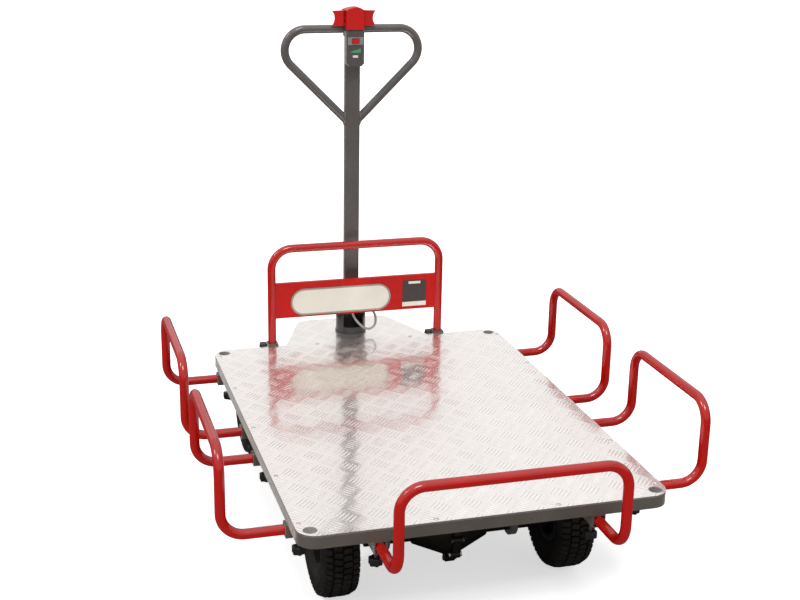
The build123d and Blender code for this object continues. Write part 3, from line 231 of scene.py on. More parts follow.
# The deck: rolled aluminium tread plate. Groups of five raised bars stand on a diamond lattice, turned one
# way and the other by turns. The rolling leaves the sheet slightly wavy. Painted shade darkens the foot of
# each bar on its near side, and a painted highlight lightens its far side.
# A bar's sizes are shares of the way from one group to the next.
GROUP_PITCH = (0.066, 0.0765)
GROUP_START = (-0.026, 0.021)
BAR_HALF_LENGTH = 0.36
BAR_HALF_WIDTH = 0.046
BAR_STEP = 0.175
OUTER_BAR = 2
ROLLED_SCALE = (16.0, 26.0, 1.0)
SWELL_DEPTH = 0.00045
deck_metal, deck_tree, deck_shader, deck_where = start_material("tread_plate")


def deck_step(operation, *values):
    """One step of arithmetic in the deck's material."""
    return reckon(deck_tree, operation, *values)


def deck_ramp(value, low, high, to_low=0.0, to_high=1.0):
    """A soft step in the deck's material."""
    return spread(deck_tree, value, low, high, to_low, to_high)


deck_xyz = place(deck_tree, "SeparateXYZ", {0: deck_where}).outputs
sheet = []
for axis, (start, pitch) in enumerate(zip(GROUP_START, GROUP_PITCH)):
    sheet.append(deck_step("DIVIDE", deck_step("SUBTRACT", deck_xyz[axis], start), pitch))
lattice = [deck_step("ADD", *sheet), deck_step("SUBTRACT", *sheet)]
group_number = [deck_step("ROUND", value) for value in lattice]
in_group = [deck_step("SUBTRACT", value, number) for value, number in zip(lattice, group_number)]
turned = deck_step("FLOORED_MODULO", deck_step("ADD", *group_number), 2.0)
swap = deck_step("MULTIPLY", turned, deck_step("SUBTRACT", in_group[1], in_group[0]))
along = deck_step("DIVIDE", deck_step("ADD", in_group[0], swap), BAR_HALF_LENGTH)
across = deck_step("SUBTRACT", in_group[1], swap)
bar_number = deck_step("ROUND", deck_step("DIVIDE", across, BAR_STEP))
bar_number = deck_step("MAXIMUM", deck_step("MINIMUM", bar_number, OUTER_BAR), -OUTER_BAR)
off_bar = deck_step("MULTIPLY_ADD", bar_number, -BAR_STEP, across)
off_bar = deck_step("DIVIDE", off_bar, BAR_HALF_WIDTH)
inside_bar = deck_step("SUBTRACT", 1.0, deck_step("MULTIPLY", along, along))
inside_bar = deck_step("SUBTRACT", inside_bar, deck_step("MULTIPLY", off_bar, off_bar))
near_side = deck_step("MULTIPLY", off_bar, deck_ramp(turned, 0.0, 1.0, 1.0, -1.0))
# Painted highlight: a lighter band along the side of each bar away from the eye.
far_slope = deck_ramp(near_side, -0.3, 0.3, 1.0, 0.0)
painted_far_highlight = deck_step("MULTIPLY", deck_ramp(inside_bar, -0.6, 0.1), far_slope)
off_top = deck_ramp(inside_bar, 0.0, 0.3, 1.0, 0.0)
bar_foot = deck_step("MULTIPLY", deck_ramp(inside_bar, -1.0, -0.2), off_top)
# Painted shade: the foot of each bar on its near side is darkened, and the cloud only varies how much.
near_foot = deck_step("MULTIPLY", bar_foot, deck_ramp(near_side, 0.4, 0.8))
deck_cloud = noise(deck_tree, deck_where, 9.0, 3.0)
near_painted_shade = deck_step("MULTIPLY", near_foot, deck_ramp(deck_cloud, 0.35, 0.65, 0.55, 0.80))
deck_normal = place(deck_tree, "NewGeometry").outputs["True Normal"]
deck_face = deck_ramp(place(deck_tree, "SeparateXYZ", {0: deck_normal}).outputs["Z"], 0.4, 0.8)
deck_colour = tint(deck_tree, deck_cloud, shade(242, 237, 233), shade(235, 230, 226))
# Painted highlight on the bars' far sides, then painted shade at their near feet.
deck_colour = tint(deck_tree, painted_far_highlight, deck_colour, shade(246, 243, 240))
deck_colour = tint(deck_tree, near_painted_shade, deck_colour, shade(96, 88, 84))
deck_colour = tint(deck_tree, deck_face, shade(178, 173, 168), deck_colour)
deck_tree.links.new(deck_colour, deck_shader.inputs["Base Color"])
deck_shader.inputs["Metallic"].default_value = 1.0
deck_rough = deck_ramp(noise(deck_tree, deck_where, 900.0, 1.0), 0.48, 0.56, 0.10, 0.42)
deck_rough = deck_step("ADD", deck_rough, deck_ramp(deck_face, 0.0, 1.0, 0.35, 0.0))
deck_tree.links.new(deck_rough, deck_shader.inputs["Roughness"])
group_bulge = deck_step("MULTIPLY", in_group[0], in_group[0])
group_bulge = deck_step("MULTIPLY_ADD", in_group[1], in_group[1], group_bulge)
rolled_where = place(deck_tree, "VectorMath", {0: deck_where, 1: ROLLED_SCALE}, operation="MULTIPLY")
rolled_wave = noise(deck_tree, rolled_where.outputs[0], 1.0)
deck_swell = deck_step("MULTIPLY_ADD", rolled_wave, 0.4, group_bulge)
deck_wave = place(deck_tree, "Bump", {"Height": deck_swell, "Distance": SWELL_DEPTH})
deck_tree.links.new(deck_wave.outputs["Normal"], deck_shader.inputs["Normal"])
dress(deck_metal, "deck_plate")


# The rivets: aluminium pop rivets along the deck's edges, which hold the sheet to the frame. Each is a low
# dome with a hollow in its middle, where its pin was pulled through.
def bright_metal(name, colour, deep, low, high, grain):
    """Bare metal with a fine grain in its gloss."""
    material, tree, shader, where = start_material(name)
    cloud = noise(tree, where, 90.0, 3.0)
    tree.links.new(tint(tree, cloud, colour, deep), shader.inputs["Base Color"])
    gloss = spread(tree, noise(tree, where, grain), 0.3, 0.7, low, high)
    tree.links.new(gloss, shader.inputs["Roughness"])
    bump = place(tree, "Bump", {"Height": noise(tree, where, grain, 1.0), "Distance": 0.00002})
    tree.links.new(bump.outputs["Normal"], shader.inputs["Normal"])
    shader.inputs["Metallic"].default_value = 1.0
    return material


def finish_piece(name, shape, body, slot, *materials, crease=35):
    """Makes a piece of a mesh, shades it smooth up to the crease, and lets it move with its body."""
    mesh = bpy.data.meshes.new(name)
    shape.to_mesh(mesh)
    shape.free()
    for material in materials:
        mesh.materials.append(material)
    mesh.polygons.foreach_set("use_smooth", [True] * len(mesh.polygons))
    mesh.set_sharp_from_angle(angle=math.radians(crease))
    piece = bpy.data.objects.new(name, mesh)
    scene.collection.objects.link(piece)
    if body:
        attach(piece, body)
    return piece


def everything(shape):
    """All that an operator can work on."""
    return shape.verts[:] + shape.edges[:] + shape.faces[:]


DECK_TOP = 0.290
RIVET_RADIUS = 0.0052
RIVET_FLATNESS = 0.42
RIVET_SUNK = 0.0003
HOLLOW_RADIUS = 0.0018
HOLLOW_DEPTH = 0.0007
SIDE_RIVET_X = 0.389
side_rivet_ys = (-0.521, -0.292, -0.022, 0.235, 0.470)
end_rivet_xs = (-0.117, 0.147)
end_rivet_ys = (-0.569, 0.507)
rivet_spots = [(side * SIDE_RIVET_X, y) for side in (-1, 1) for y in side_rivet_ys]
rivet_spots += [(x, y) for y in end_rivet_ys for x in end_rivet_xs]
rivet_metal = bright_metal(
    "rivet_aluminium", shade(196, 191, 186), shade(156, 152, 148), 0.32, 0.46, 700.0
)
rivets = bmesh.new()
for rivet_x, rivet_y in rivet_spots:
    dome = bmesh.ops.create_uvsphere(rivets, u_segments=20, v_segments=10, radius=RIVET_RADIUS)["verts"]
    bmesh.ops.scale(rivets, vec=(1, 1, RIVET_FLATNESS), verts=dome)
    for v in dome:
        if v.co.to_2d().length < HOLLOW_RADIUS and v.co.z > 0:
            v.co.z -= HOLLOW_DEPTH
    bmesh.ops.translate(rivets, vec=(rivet_x, rivet_y, DECK_TOP), verts=dome)
bmesh.ops.bisect_plane(
    rivets,
    geom=everything(rivets),
    plane_co=(0, 0, DECK_TOP - RIVET_SUNK),
    plane_no=(0, 0, -1),
    clear_outer=True,
)
bmesh.ops.holes_fill(rivets, edges=rivets.edges[:], sides=0)
finish_piece("deck_rivets", rivets, "chassis", "tread_plate", rivet_metal)


# The tread bars: low lens-shaped ridges that the rolling raised out of the sheet, five to a group. A bar
# that would run over an edge, a stake hole, a rivet or the foot of the tiller is left out.
BAR_HEIGHT = 0.0005
BAR_SUNK = 0.0001
GROUPS_EACH_WAY = 20
COLUMN_Y = 0.598
TILLER_FOOT = Vector((0.0, COLUMN_Y, 0.0))
TILLER_FOOT_RADIUS = 0.046
lattice_ways = [Vector((GROUP_PITCH[0], sign * GROUP_PITCH[1], 0)) / 2 for sign in (1, -1)]
bpy.context.view_layer.update()


def on_bare_deck(spot):
    """Whether the flat top of the deck is free at this spot."""
    deck_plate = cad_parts["deck_plate"]
    hit, found, _, _ = deck_plate.ray_cast(spot + Vector((0, 0, 1)), Vector((0, 0, -1)))
    off_rivets = all((spot - Vector((*rivet, 0))).length > RIVET_RADIUS for rivet in rivet_spots)
    off_foot = (spot - TILLER_FOOT).length > TILLER_FOOT_RADIUS
    return hit and off_rivets and off_foot and abs(found.z - DECK_TOP) < BAR_SUNK


# The ball's middle ring lies on the cut. What is this near counts as on it, so no slivers stay there.
ON_THE_CUT = 0.001
half_ball = bmesh.new()
bmesh.ops.create_uvsphere(half_ball, u_segments=12, v_segments=4, radius=1)
bmesh.ops.bisect_plane(
    half_ball,
    geom=everything(half_ball),
    dist=ON_THE_CUT,
    plane_co=(0, 0, 0),
    plane_no=(0, 0, -1),
    clear_outer=True,
)
bmesh.ops.holes_fill(half_ball, edges=half_ball.edges[:], sides=0)
bars = bmesh.new()
for row in range(-GROUPS_EACH_WAY, GROUPS_EACH_WAY + 1):
    for column in range(-GROUPS_EACH_WAY, GROUPS_EACH_WAY + 1):
        middle = Vector((*GROUP_START, 0)) + lattice_ways[0] * row + lattice_ways[1] * column
        bar_way, side_way = lattice_ways if (row + column) % 2 == 0 else lattice_ways[::-1]
        half_bar, half_side = bar_way * BAR_HALF_LENGTH, side_way * BAR_HALF_WIDTH
        bar_shape = Matrix((half_bar, half_side, Vector((0, 0, BAR_HEIGHT)))).transposed().to_4x4()
        for number in range(-OUTER_BAR, OUTER_BAR + 1):
            spot = middle + side_way * BAR_STEP * number
            rim = [spot + way for way in (half_bar, -half_bar, half_side, -half_side)]
            if not all(on_bare_deck(point) for point in rim):
                continue
            spot.z = DECK_TOP - BAR_SUNK
            bar = bpy.data.meshes.new("bar")
            half_ball.to_mesh(bar)
            bar.transform(Matrix.Translation(spot) @ bar_shape)
            bars.from_mesh(bar)
            bpy.data.meshes.remove(bar)
half_ball.free()
bmesh.ops.recalc_face_normals(bars, faces=bars.faces[:])
bars_mesh = finish_piece("tread_bars", bars, "chassis", "tread_plate", deck_metal).data
# A bar flows softly out of the sheet: at its foot the shading turns half way to straight up.
KEEP_NORMAL = Vector((0, 0, 0))
bar_normals = [KEEP_NORMAL] * len(bars_mesh.loops)
smooth_normals = bars_mesh.corner_normals
for face in bars_mesh.polygons:
    for corner in face.loop_indices:
        at_foot = bars_mesh.vertices[bars_mesh.loops[corner].vertex_index].co.z < DECK_TOP
        if at_foot and face.normal.z > 0:
            bar_normals[corner] = (smooth_normals[corner].vector + Vector((0, 0, 1))).normalized()
bars_mesh.normals_split_custom_set(bar_normals)


# The stake tubes in the deck's corners: drawn steel, thinly zinc coated inside, which take loose posts from
# above. Each is let into the sheet, and only its lining shows in the hole.
def closed_outline(shape, corners):
    """A closed line through corners in the plane of X and Z. Gives its vertices and edges."""
    verts = [shape.verts.new((x, 0, z)) for x, z in corners]
    return verts + [shape.edges.new(pair) for pair in zip(verts, verts[1:] + verts[:1])]


def spin_round(shape, geom, axis, steps):
    """Turns an outline once round an axis through the origin, and closes the seam."""
    bmesh.ops.spin(
        shape, geom=geom, cent=(0, 0, 0), axis=axis, angle=2 * math.pi, steps=steps, use_merge=True
    )


def verts_of(geom):
    """The vertices in what an operator gives back."""
    return [item for item in geom if isinstance(item, bmesh.types.BMVert)]


STAKE_X = 0.373
stake_ys = (-0.554, 0.492)
lining_inside, lining_outside = 0.01405, 0.01445
lining_foot, lining_top = 0.2612, 0.2895
lining_zinc = coated(
    "lining_zinc", shade(196, 192, 188), shade(132, 128, 124), 0.30, 300.0, metallic=0.30
)
linings = bmesh.new()
lining_corners = [
    (lining_inside, lining_foot),
    (lining_outside, lining_foot),
    (lining_outside, lining_top),
    (lining_inside, lining_top),
]
spin_round(linings, closed_outline(linings, lining_corners), (0, 0, 1), 48)
bmesh.ops.recalc_face_normals(linings, faces=linings.faces[:])
first_lining = linings.faces[:]
for stake_y in stake_ys:
    for side in (-1, 1):
        copied = bmesh.ops.duplicate(linings, geom=first_lining)["geom"]
        bmesh.ops.translate(linings, vec=(side * STAKE_X, stake_y, 0), verts=verts_of(copied))
bmesh.ops.delete(linings, geom=list({v for f in first_lining for v in f.verts}), context="VERTS")
finish_piece("stake_linings", linings, "chassis", "bright_steel", lining_zinc)


# The rear drive: a black cast transaxle in two halves, bolted together at a split flange, with its motor
# and brake in front and a steel half shaft out to each wheel.
def rod(shape, spot, radius, length, sides):
    """A round or many-sided bar that stands on the spot and runs along its own Z."""
    bmesh.ops.create_cone(
        shape,
        cap_ends=True,
        segments=sides,
        radius1=radius,
        radius2=radius,
        depth=length,
        matrix=spot @ Matrix.Translation((0, 0, length / 2)),
    )


ALONG_X = Matrix.Rotation(math.pi / 2, 4, "Y")
AXLE_Z = 0.125
REAR_AXLE_Y = -0.293
FLANGE_BOLTS = 10
FLANGE_BOLT_CIRCLE = 0.0725
BOSS_RADIUS = 0.0088
BOSS_LENGTH = 0.021
BOLT_HEAD_RADIUS = 0.0064
BOLT_HEAD_LENGTH = 0.005
BOLT_HEAD_X = 0.0128
cast_black = coated(
    "cast_black", shade(24, 21, 18), shade(15, 13, 11), 0.40, 150.0, 0.00015, specular=0.25
)
dress(cast_black, "transaxle_case")
motor_black = coated("motor_black", shade(36, 34, 33), shade(25, 23, 22), 0.46, 240.0, 0.00006)
dress(motor_black, "drive_motor")
shaft_steel = bright_metal("turned_steel", shade(178, 176, 172), shade(140, 138, 134), 0.22, 0.38, 500.0)
dress(shaft_steel, "left_half_shaft", "right_half_shaft")
bolt_zinc = bright_metal("zinc_bolt", shade(170, 167, 160), shade(128, 125, 120), 0.28, 0.45, 600.0)
case_middle = Matrix.Translation((0, REAR_AXLE_Y, AXLE_Z))
case_bosses = bmesh.new()
case_bolts = bmesh.new()
for number in range(FLANGE_BOLTS):
    flange_turn = Matrix.Rotation(2 * math.pi * (number + 0.5) / FLANGE_BOLTS, 4, "X")
    bolt_spot = case_middle @ flange_turn @ Matrix.Translation((0, 0, FLANGE_BOLT_CIRCLE))
    boss_start = Matrix.Translation((-BOSS_LENGTH / 2, 0, 0))
    rod(case_bosses, bolt_spot @ boss_start @ ALONG_X, BOSS_RADIUS, BOSS_LENGTH, 20)
    for side in (-1, 1):
        head_start = Matrix.Translation((side * BOLT_HEAD_X - BOLT_HEAD_LENGTH / 2, 0, 0))
        rod(case_bolts, bolt_spot @ head_start @ ALONG_X, BOLT_HEAD_RADIUS, BOLT_HEAD_LENGTH, 6)
finish_piece("transaxle_bosses", case_bosses, "chassis", "black_casting", cast_black)
finish_piece("transaxle_bolts", case_bolts, "chassis", "bright_steel", bolt_zinc, crease=20)


# The electrics under the deck: two sealed lead-acid batteries in moulded cases and a motor controller
# in a ribbed aluminium housing.
battery_plastic = coated("battery_case", shade(52, 52, 54), shade(42, 42, 44), 0.5, 500.0)
dress(battery_plastic, "batteries")
controller_metal = bright_metal(
    "controller_aluminium", shade(172, 172, 170), shade(142, 142, 140), 0.35, 0.5, 420.0
)
dress(controller_metal, "controller")


# The front axle: a fixed steel beam with a steering knuckle on a kingpin at each end, and tie rods from
# the knuckles to the arm on the column's foot.
axle_black = coated("axle_black", shade(48, 46, 45), shade(37, 35, 34), 0.42)
dress(axle_black, "front_axle", "left_knuckle", "right_knuckle", "pitman_arm")
dress(shaft_steel, "kingpins", "left_tie_rod", "right_tie_rod", "front_left_bearings", "front_right_bearings")


# The wheels: pressed steel rims in black paint, each held on its axle by a zinc-plated hexagon nut. The
# front nuts sit on the knuckles' stub axles, and the rear ones turn with the half shafts.
FRONT_AXLE_Y = 0.499
REAR_WHEEL_X = 0.270
FRONT_WHEEL_X = 0.288
NUT_START = 0.0221
NUT_RADIUS = 0.0200
NUT_HEIGHT = 0.0126
NUT_BEVEL = 0.0008
rim_paint = coated("rim_black", shade(38, 36, 35), shade(28, 26, 25), 0.34)
wheels = {
    "rear_left": (-REAR_WHEEL_X, REAR_AXLE_Y, "rear_left_wheel"),
    "rear_right": (REAR_WHEEL_X, REAR_AXLE_Y, "rear_right_wheel"),
    "front_left": (-FRONT_WHEEL_X, FRONT_AXLE_Y, "left_steering_knuckle"),
    "front_right": (FRONT_WHEEL_X, FRONT_AXLE_Y, "right_steering_knuckle"),
}
for corner, (wheel_x, wheel_y, nut_body) in wheels.items():
    dress(rim_paint, corner + "_rim")
    hub = Matrix.Translation((wheel_x, wheel_y, AXLE_Z))
    outward = Matrix.Rotation(math.copysign(math.pi / 2, wheel_x), 4, "Y")
    nut = bmesh.new()
    rod(nut, hub @ outward @ Matrix.Translation((0, 0, NUT_START)), NUT_RADIUS, NUT_HEIGHT, 6)
    bmesh.ops.bevel(
        nut, geom=nut.edges[:], offset=NUT_BEVEL, affect="EDGES", segments=2, profile=0.5, material=-1
    )
    finish_piece(corner + "_hub_nut", nut, nut_body, "bright_steel", bolt_zinc, crease=50)


# The tyres: black block-tread pneumatics. A moulded carcass with ribbed walls carries two rows of bricks
# in the middle and a leaning shoulder block beside each.
tyre_rubber, rubber_tree, rubber_shader, rubber_where = start_material("tyre_rubber")
rubber_dust = noise(rubber_tree, rubber_where, 22.0, 5.0)
dust_mix = spread(rubber_tree, rubber_dust, 0.38, 0.72)
rubber_colour = tint(rubber_tree, dust_mix, shade(20, 17, 15), shade(34, 31, 28))
rubber_tree.links.new(rubber_colour, rubber_shader.inputs["Base Color"])
rubber_rough = spread(rubber_tree, rubber_dust, 0.3, 0.7, 0.55, 0.78)
rubber_tree.links.new(rubber_rough, rubber_shader.inputs["Roughness"])
rubber_grain = noise(rubber_tree, rubber_where, 700.0)
rubber_bump = place(rubber_tree, "Bump", {"Height": rubber_grain, "Distance": 0.0001})
rubber_tree.links.new(rubber_bump.outputs["Normal"], rubber_shader.inputs["Normal"])
rubber_shader.inputs["Specular IOR Level"].default_value = 0.2
carcass_half = [
    (0.0287, 0.05205), (0.0287, 0.0645), (0.0312, 0.0675), (0.0362, 0.0715), (0.0392, 0.0755),
    (0.0402, 0.0780), (0.0411, 0.0786), (0.0413, 0.0804), (0.0408, 0.0812), (0.0418, 0.0860),
    (0.0424, 0.0910), (0.0422, 0.0962), (0.0428, 0.0968), (0.0426, 0.0986), (0.0416, 0.0992),
    (0.0410, 0.1040), (0.0394, 0.1085), (0.0370, 0.1120), (0.0330, 0.1148), (0.0280, 0.1168),
    (0.0150, 0.1184),
]
carcass = carcass_half + [(-x, radius) for x, radius in reversed(carcass_half)]
TREAD_ROWS = 50
BLOCK_BEVEL = 0.0011
brick_size, brick_x, brick_radius, brick_slant = (0.0178, 0.0118, 0.0084), 0.0100, 0.1206, 10
shoulder_size, shoulder_x, shoulder_radius, shoulder_lean = (0.0172, 0.0118, 0.0092), 0.0295, 0.1166, 25
half_step = math.pi / TREAD_ROWS
tread = bmesh.new()
for side in (-1, 1):
    brick_turn = Matrix.Rotation(half_step * (side + 1) / 2, 4, "X")
    brick = brick_turn @ Matrix.Translation((side * brick_x, 0, brick_radius))
    brick = brick @ Matrix.Rotation(math.radians(brick_slant * side), 4, "Z")
    bmesh.ops.create_cube(tread, matrix=brick @ Matrix.Diagonal((*brick_size, 1)))
    shoulder_turn = Matrix.Rotation(half_step * (1 - side) / 2, 4, "X")
    shoulder = shoulder_turn @ Matrix.Translation((side * shoulder_x, 0, shoulder_radius))
    shoulder = shoulder @ Matrix.Rotation(math.radians(shoulder_lean * side), 4, "Y")
    bmesh.ops.create_cube(tread, matrix=shoulder @ Matrix.Diagonal((*shoulder_size, 1)))
bmesh.ops.bevel(
    tread, geom=tread.edges[:], offset=BLOCK_BEVEL, affect="EDGES", segments=1, profile=0.5, material=-1
)
bmesh.ops.spin(
    tread,
    geom=everything(tread),
    cent=(0, 0, 0),
    axis=(1, 0, 0),
    angle=2 * math.pi * (TREAD_ROWS - 1) / TREAD_ROWS,
    steps=TREAD_ROWS - 1,
    use_duplicate=True,
)
tread_mesh = bpy.data.meshes.new("tyre_tread")
tread.to_mesh(tread_mesh)
tread.free()
for corner, (wheel_x, wheel_y, _) in wheels.items():
    tyre = bmesh.new()
    spin_round(tyre, closed_outline(tyre, carcass), (1, 0, 0), 96)
    tyre.from_mesh(tread_mesh)
    bmesh.ops.recalc_face_normals(tyre, faces=tyre.faces[:])
    bmesh.ops.translate(tyre, vec=(wheel_x, wheel_y, AXLE_Z), verts=tyre.verts[:])
    tyre_piece = finish_piece(corner + "_block_tyre", tyre, corner + "_wheel", "tyre", tyre_rubber, crease=40)
    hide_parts(corner + "_tyre")


# The column: a bearing housing on the nose and, turning in it, the steering column with its black fork.
# A low web joins the fork's arms at the far side, and a steel pin through them takes the tiller's foot.
fork_black = coated("fork_black", shade(28, 26, 25), shade(19, 18, 17), 0.18, specular=0.7)
dress(fork_black, "steering_column")
housing_grey = coated("housing_grey", shade(62, 59, 57), shade(50, 47, 46), 0.26)
dress(housing_grey, "bearing_housing")
dress(shaft_steel, "column_bearings", "pivot_pin")


# The tiller: an upright box-section post with a closed loop handle of round tube, sprayed in the same warm
# grey as the frame. A weld runs round each end of the loop, where it meets the post aslant.
WELD_X = 0.0205
WELD_Z = 0.890
WELD_RING_RADIUS = 0.0112
WELD_STRETCH = 1.41
BEAD_RADIUS = 0.0026
tiller_paint = coated("tiller_grey", shade(92, 87, 85), shade(80, 75, 73), 0.20, sheen=0.5)
dress(tiller_paint, "tiller_post", "handle_loop")
welds = bmesh.new()
for side in (-1, 1):
    bead_start = Matrix.Translation((0, WELD_RING_RADIUS, 0)) @ Matrix.Rotation(math.pi / 8, 4, "Z")
    ring = bmesh.ops.create_circle(welds, segments=8, radius=BEAD_RADIUS, matrix=bead_start)["verts"]
    ring_edges = list({e for v in ring for e in v.link_edges})
    old_verts = set(welds.verts) - set(ring)
    spin_round(welds, ring + ring_edges, (1, 0, 0), 40)
    bead = [v for v in welds.verts if v not in old_verts]
    bmesh.ops.scale(welds, vec=(1, 1, WELD_STRETCH), verts=bead)
    bmesh.ops.translate(welds, vec=(side * WELD_X, COLUMN_Y, WELD_Z), verts=bead)
bmesh.ops.recalc_face_normals(welds, faces=welds.faces[:])
finish_piece("handle_welds", welds, "tiller", "tiller_grey", tiller_paint, crease=60)


# The controls: a moulded grey housing on top of the post, with a red safety button over it, red throttle
# paddles at its sides and a red push button in its face, above the charge gauge.
housing_plastic = coated(
    "housing_plastic", shade(80, 73, 73), shade(70, 63, 63), 0.42, 900.0, 0.00005, sheen=0.85
)
dress(housing_plastic, "control_housing")
red_plastic = coated(
    "button_red", shade(198, 24, 24), shade(184, 18, 18), 0.26, 700.0, 0.00002, specular=0.3
)
dress(red_plastic, "safety_button", "throttle", "panel_button")


def thin_plate(name, body, slot, material, middle, size):
    """A bare plate on an upright face that looks toward the loading end, with its back on the face. Its size
    is its width, height and thickness."""
    wide, high, thick = size
    shape = bmesh.new()
    spot = Matrix.Translation(Vector(middle) - Vector((0, thick / 2, 0)))
    bmesh.ops.create_cube(shape, matrix=spot @ Matrix.Diagonal((wide, thick, high, 1)))
    bmesh.ops.bevel(
        shape, geom=shape.edges[:], offset=thick / 4, affect="EDGES", segments=1, profile=0.5, material=-1
    )
    finish_piece(name, shape, body, slot, material)


CONTROL_FACE_Y = 0.561
BUTTON_Z = 1.099
BAND_X = 0.0156
STRIP_RISE = 0.0084
band_size = (0.0104, 0.0200, 0.0005)
strip_size = (0.0208, 0.0032, 0.0005)
band_grey = coated("band_grey", shade(140, 137, 137), shade(122, 119, 119), 0.36, 500.0, 0.00002)
for side, side_name, strip_name in ((-1, "left", "low"), (1, "right", "high")):
    side_spot = (side * BAND_X, CONTROL_FACE_Y, BUTTON_Z)
    thin_plate("button_band_" + side_name, "tiller", "control_grey", band_grey, side_spot, band_size)
    strip_spot = (0, CONTROL_FACE_Y, BUTTON_Z + side * STRIP_RISE)
    thin_plate("button_strip_" + strip_name, "tiller", "control_grey", band_grey, strip_spot, strip_size)
GAUGE_Z = 1.0743
GAUGE_SLOPE = 0.0080
gauge_wide, gauge_thick, gauge_high = 0.0260, 0.0006, 0.0110
gauge_green = coated("gauge_green", shade(84, 164, 112), shade(58, 128, 84), 0.30, 500.0, 0.00002)
gauge = bmesh.new()
gauge_spot = Matrix.Translation((0.0005, CONTROL_FACE_Y - gauge_thick / 2, GAUGE_Z))
bmesh.ops.create_cube(gauge, matrix=gauge_spot @ Matrix.Diagonal((gauge_wide, gauge_thick, gauge_high, 1)))
for v in gauge.verts:
    if v.co.x < 0 and v.co.z > GAUGE_Z:
        v.co.z -= GAUGE_SLOPE
finish_piece("charge_gauge", gauge, "tiller", "control_grey", gauge_green)
mark_white = coated("mark_white", shade(214, 216, 210), shade(190, 194, 188), 0.36, 500.0, 0.00002)
gauge_foot_spot = (-0.0005, CONTROL_FACE_Y, 1.0590)
thin_plate("gauge_foot", "tiller", "control_grey", mark_white, gauge_foot_spot, (0.0140, 0.0062, 0.0005))


# The control cable: a thin light-grey sheathed cable. It leaves the rear face of the post, hangs in a
# slack loop in front of the yoke, and goes into the yoke's right side, so the tiller can tilt.
cable_sheath, cable_tree, cable_shader, cable_where = start_material("cable_grey")
cable_cloud = noise(cable_tree, cable_where, 60.0, 3.0)
cable_colour = tint(cable_tree, cable_cloud, shade(166, 160, 155), shade(134, 129, 125))
cable_tree.links.new(cable_colour, cable_shader.inputs["Base Color"])
cable_rough = spread(cable_tree, cable_cloud, 0.3, 0.7, 0.38, 0.52)
cable_tree.links.new(cable_rough, cable_shader.inputs["Roughness"])
cable_grain = noise(cable_tree, cable_where, 900.0, 1.0)
cable_bump = place(cable_tree, "Bump", {"Height": cable_grain, "Distance": 0.00003})
cable_tree.links.new(cable_bump.outputs["Normal"], cable_shader.inputs["Normal"])
CABLE_DIAMETER = 0.0065
cable_route = [
    (-0.008, 0.587, 0.412),
    (-0.008, 0.571, 0.412),
    (-0.009, 0.559, 0.401),
    (-0.010, 0.555, 0.382),
    (-0.009, 0.552, 0.363),
    (-0.002, 0.549, 0.343),
    (0.010, 0.547, 0.327),
    (0.023, 0.548, 0.314),
    (0.040, 0.551, 0.305),
    (0.057, 0.554, 0.312),
    (0.063, 0.558, 0.330),
    (0.060, 0.565, 0.348),
    (0.0520, 0.5770, 0.356),
    (0.0381, 0.5826, 0.356),
]
cable_line = bpy.data.curves.new("control_cable_line", "CURVE")
cable_line.dimensions = "3D"
cable_line.resolution_u = 12
cable_spline = cable_line.splines.new("NURBS")
cable_spline.points.add(len(cable_route) - 1)
for spot, (x, y, z) in zip(cable_spline.points, cable_route):
    spot.co = (x, y, z, 1.0)
cable_spline.order_u = 3
cable_spline.use_endpoint_u = True
cable_guide = bpy.data.objects.new("control_cable_line", cable_line)
scene.collection.objects.link(cable_guide)
bpy.context.view_layer.update()
cable_thread = bpy.data.meshes.new_from_object(cable_guide)
cable_line.bevel_depth = CABLE_DIAMETER / 2
cable_line.bevel_resolution = 4
cable_line.use_fill_caps = True
bpy.context.view_layer.update()
cable_round = cable_guide.evaluated_get(bpy.context.evaluated_depsgraph_get())
cable_tube = bmesh.new()
cable_tube.from_mesh(bpy.data.meshes.new_from_object(cable_round))
bpy.data.objects.remove(cable_guide)
bmesh.ops.remove_doubles(cable_tube, verts=cable_tube.verts[:], dist=0.00001)
bmesh.ops.recalc_face_normals(cable_tube, faces=cable_tube.faces[:])
cable = finish_piece("control_cable_tube", cable_tube, None, "cable_grey", cable_sheath)
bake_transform(cable)
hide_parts("control_cable")


# The rails: hoops of bent steel tube, powder coated in a deep glossy red. Their feet slide into the square
# sockets under the deck's edge, where knobs clamp them.
rail_paint = coated("rail_red", shade(178, 13, 5), shade(162, 8, 3), 0.16, 260.0)
dress(rail_paint, "left_rear_rail", "left_front_rail", "right_rear_rail", "right_front_rail", "end_rail")


# The headboard: a red hoop that stands in the far sockets and a folded sheet panel across it. A blank
# oval plate with a raised rim and a small blank square one are fixed to the panel's near face.
PANEL_FACE_Y = 0.5305
PLATE_X = -0.044
PLATE_Z = 0.4055
PLATE_HALF_LENGTH = 0.140
PLATE_HALF_HEIGHT = 0.0375
PLATE_THICKNESS = 0.0016
PLATE_SEGMENTS = 72
RIM_WIDTH = 0.004
RIM_SLOPE = 0.0008
RIM_DEPTH = 0.0006
dress(rail_paint, "headboard_hoop")
panel_paint = coated("panel_red", shade(188, 13, 9), shade(172, 9, 7), 0.24, 260.0, specular=0.2)
dress(panel_paint, "headboard_panel")
plate_cream = coated("plate_cream", shade(224, 220, 208), shade(210, 205, 192), 0.38, 400.0, 0.00002)
plate_rim = coated("plate_rim", shade(152, 146, 134), shade(130, 124, 114), 0.34, 400.0, 0.00002)
oval = bmesh.new()
half_segment = Matrix.Rotation(math.pi / PLATE_SEGMENTS, 4, "Z")
bmesh.ops.create_circle(
    oval, cap_ends=True, segments=PLATE_SEGMENTS, radius=PLATE_HALF_HEIGHT, matrix=half_segment
)
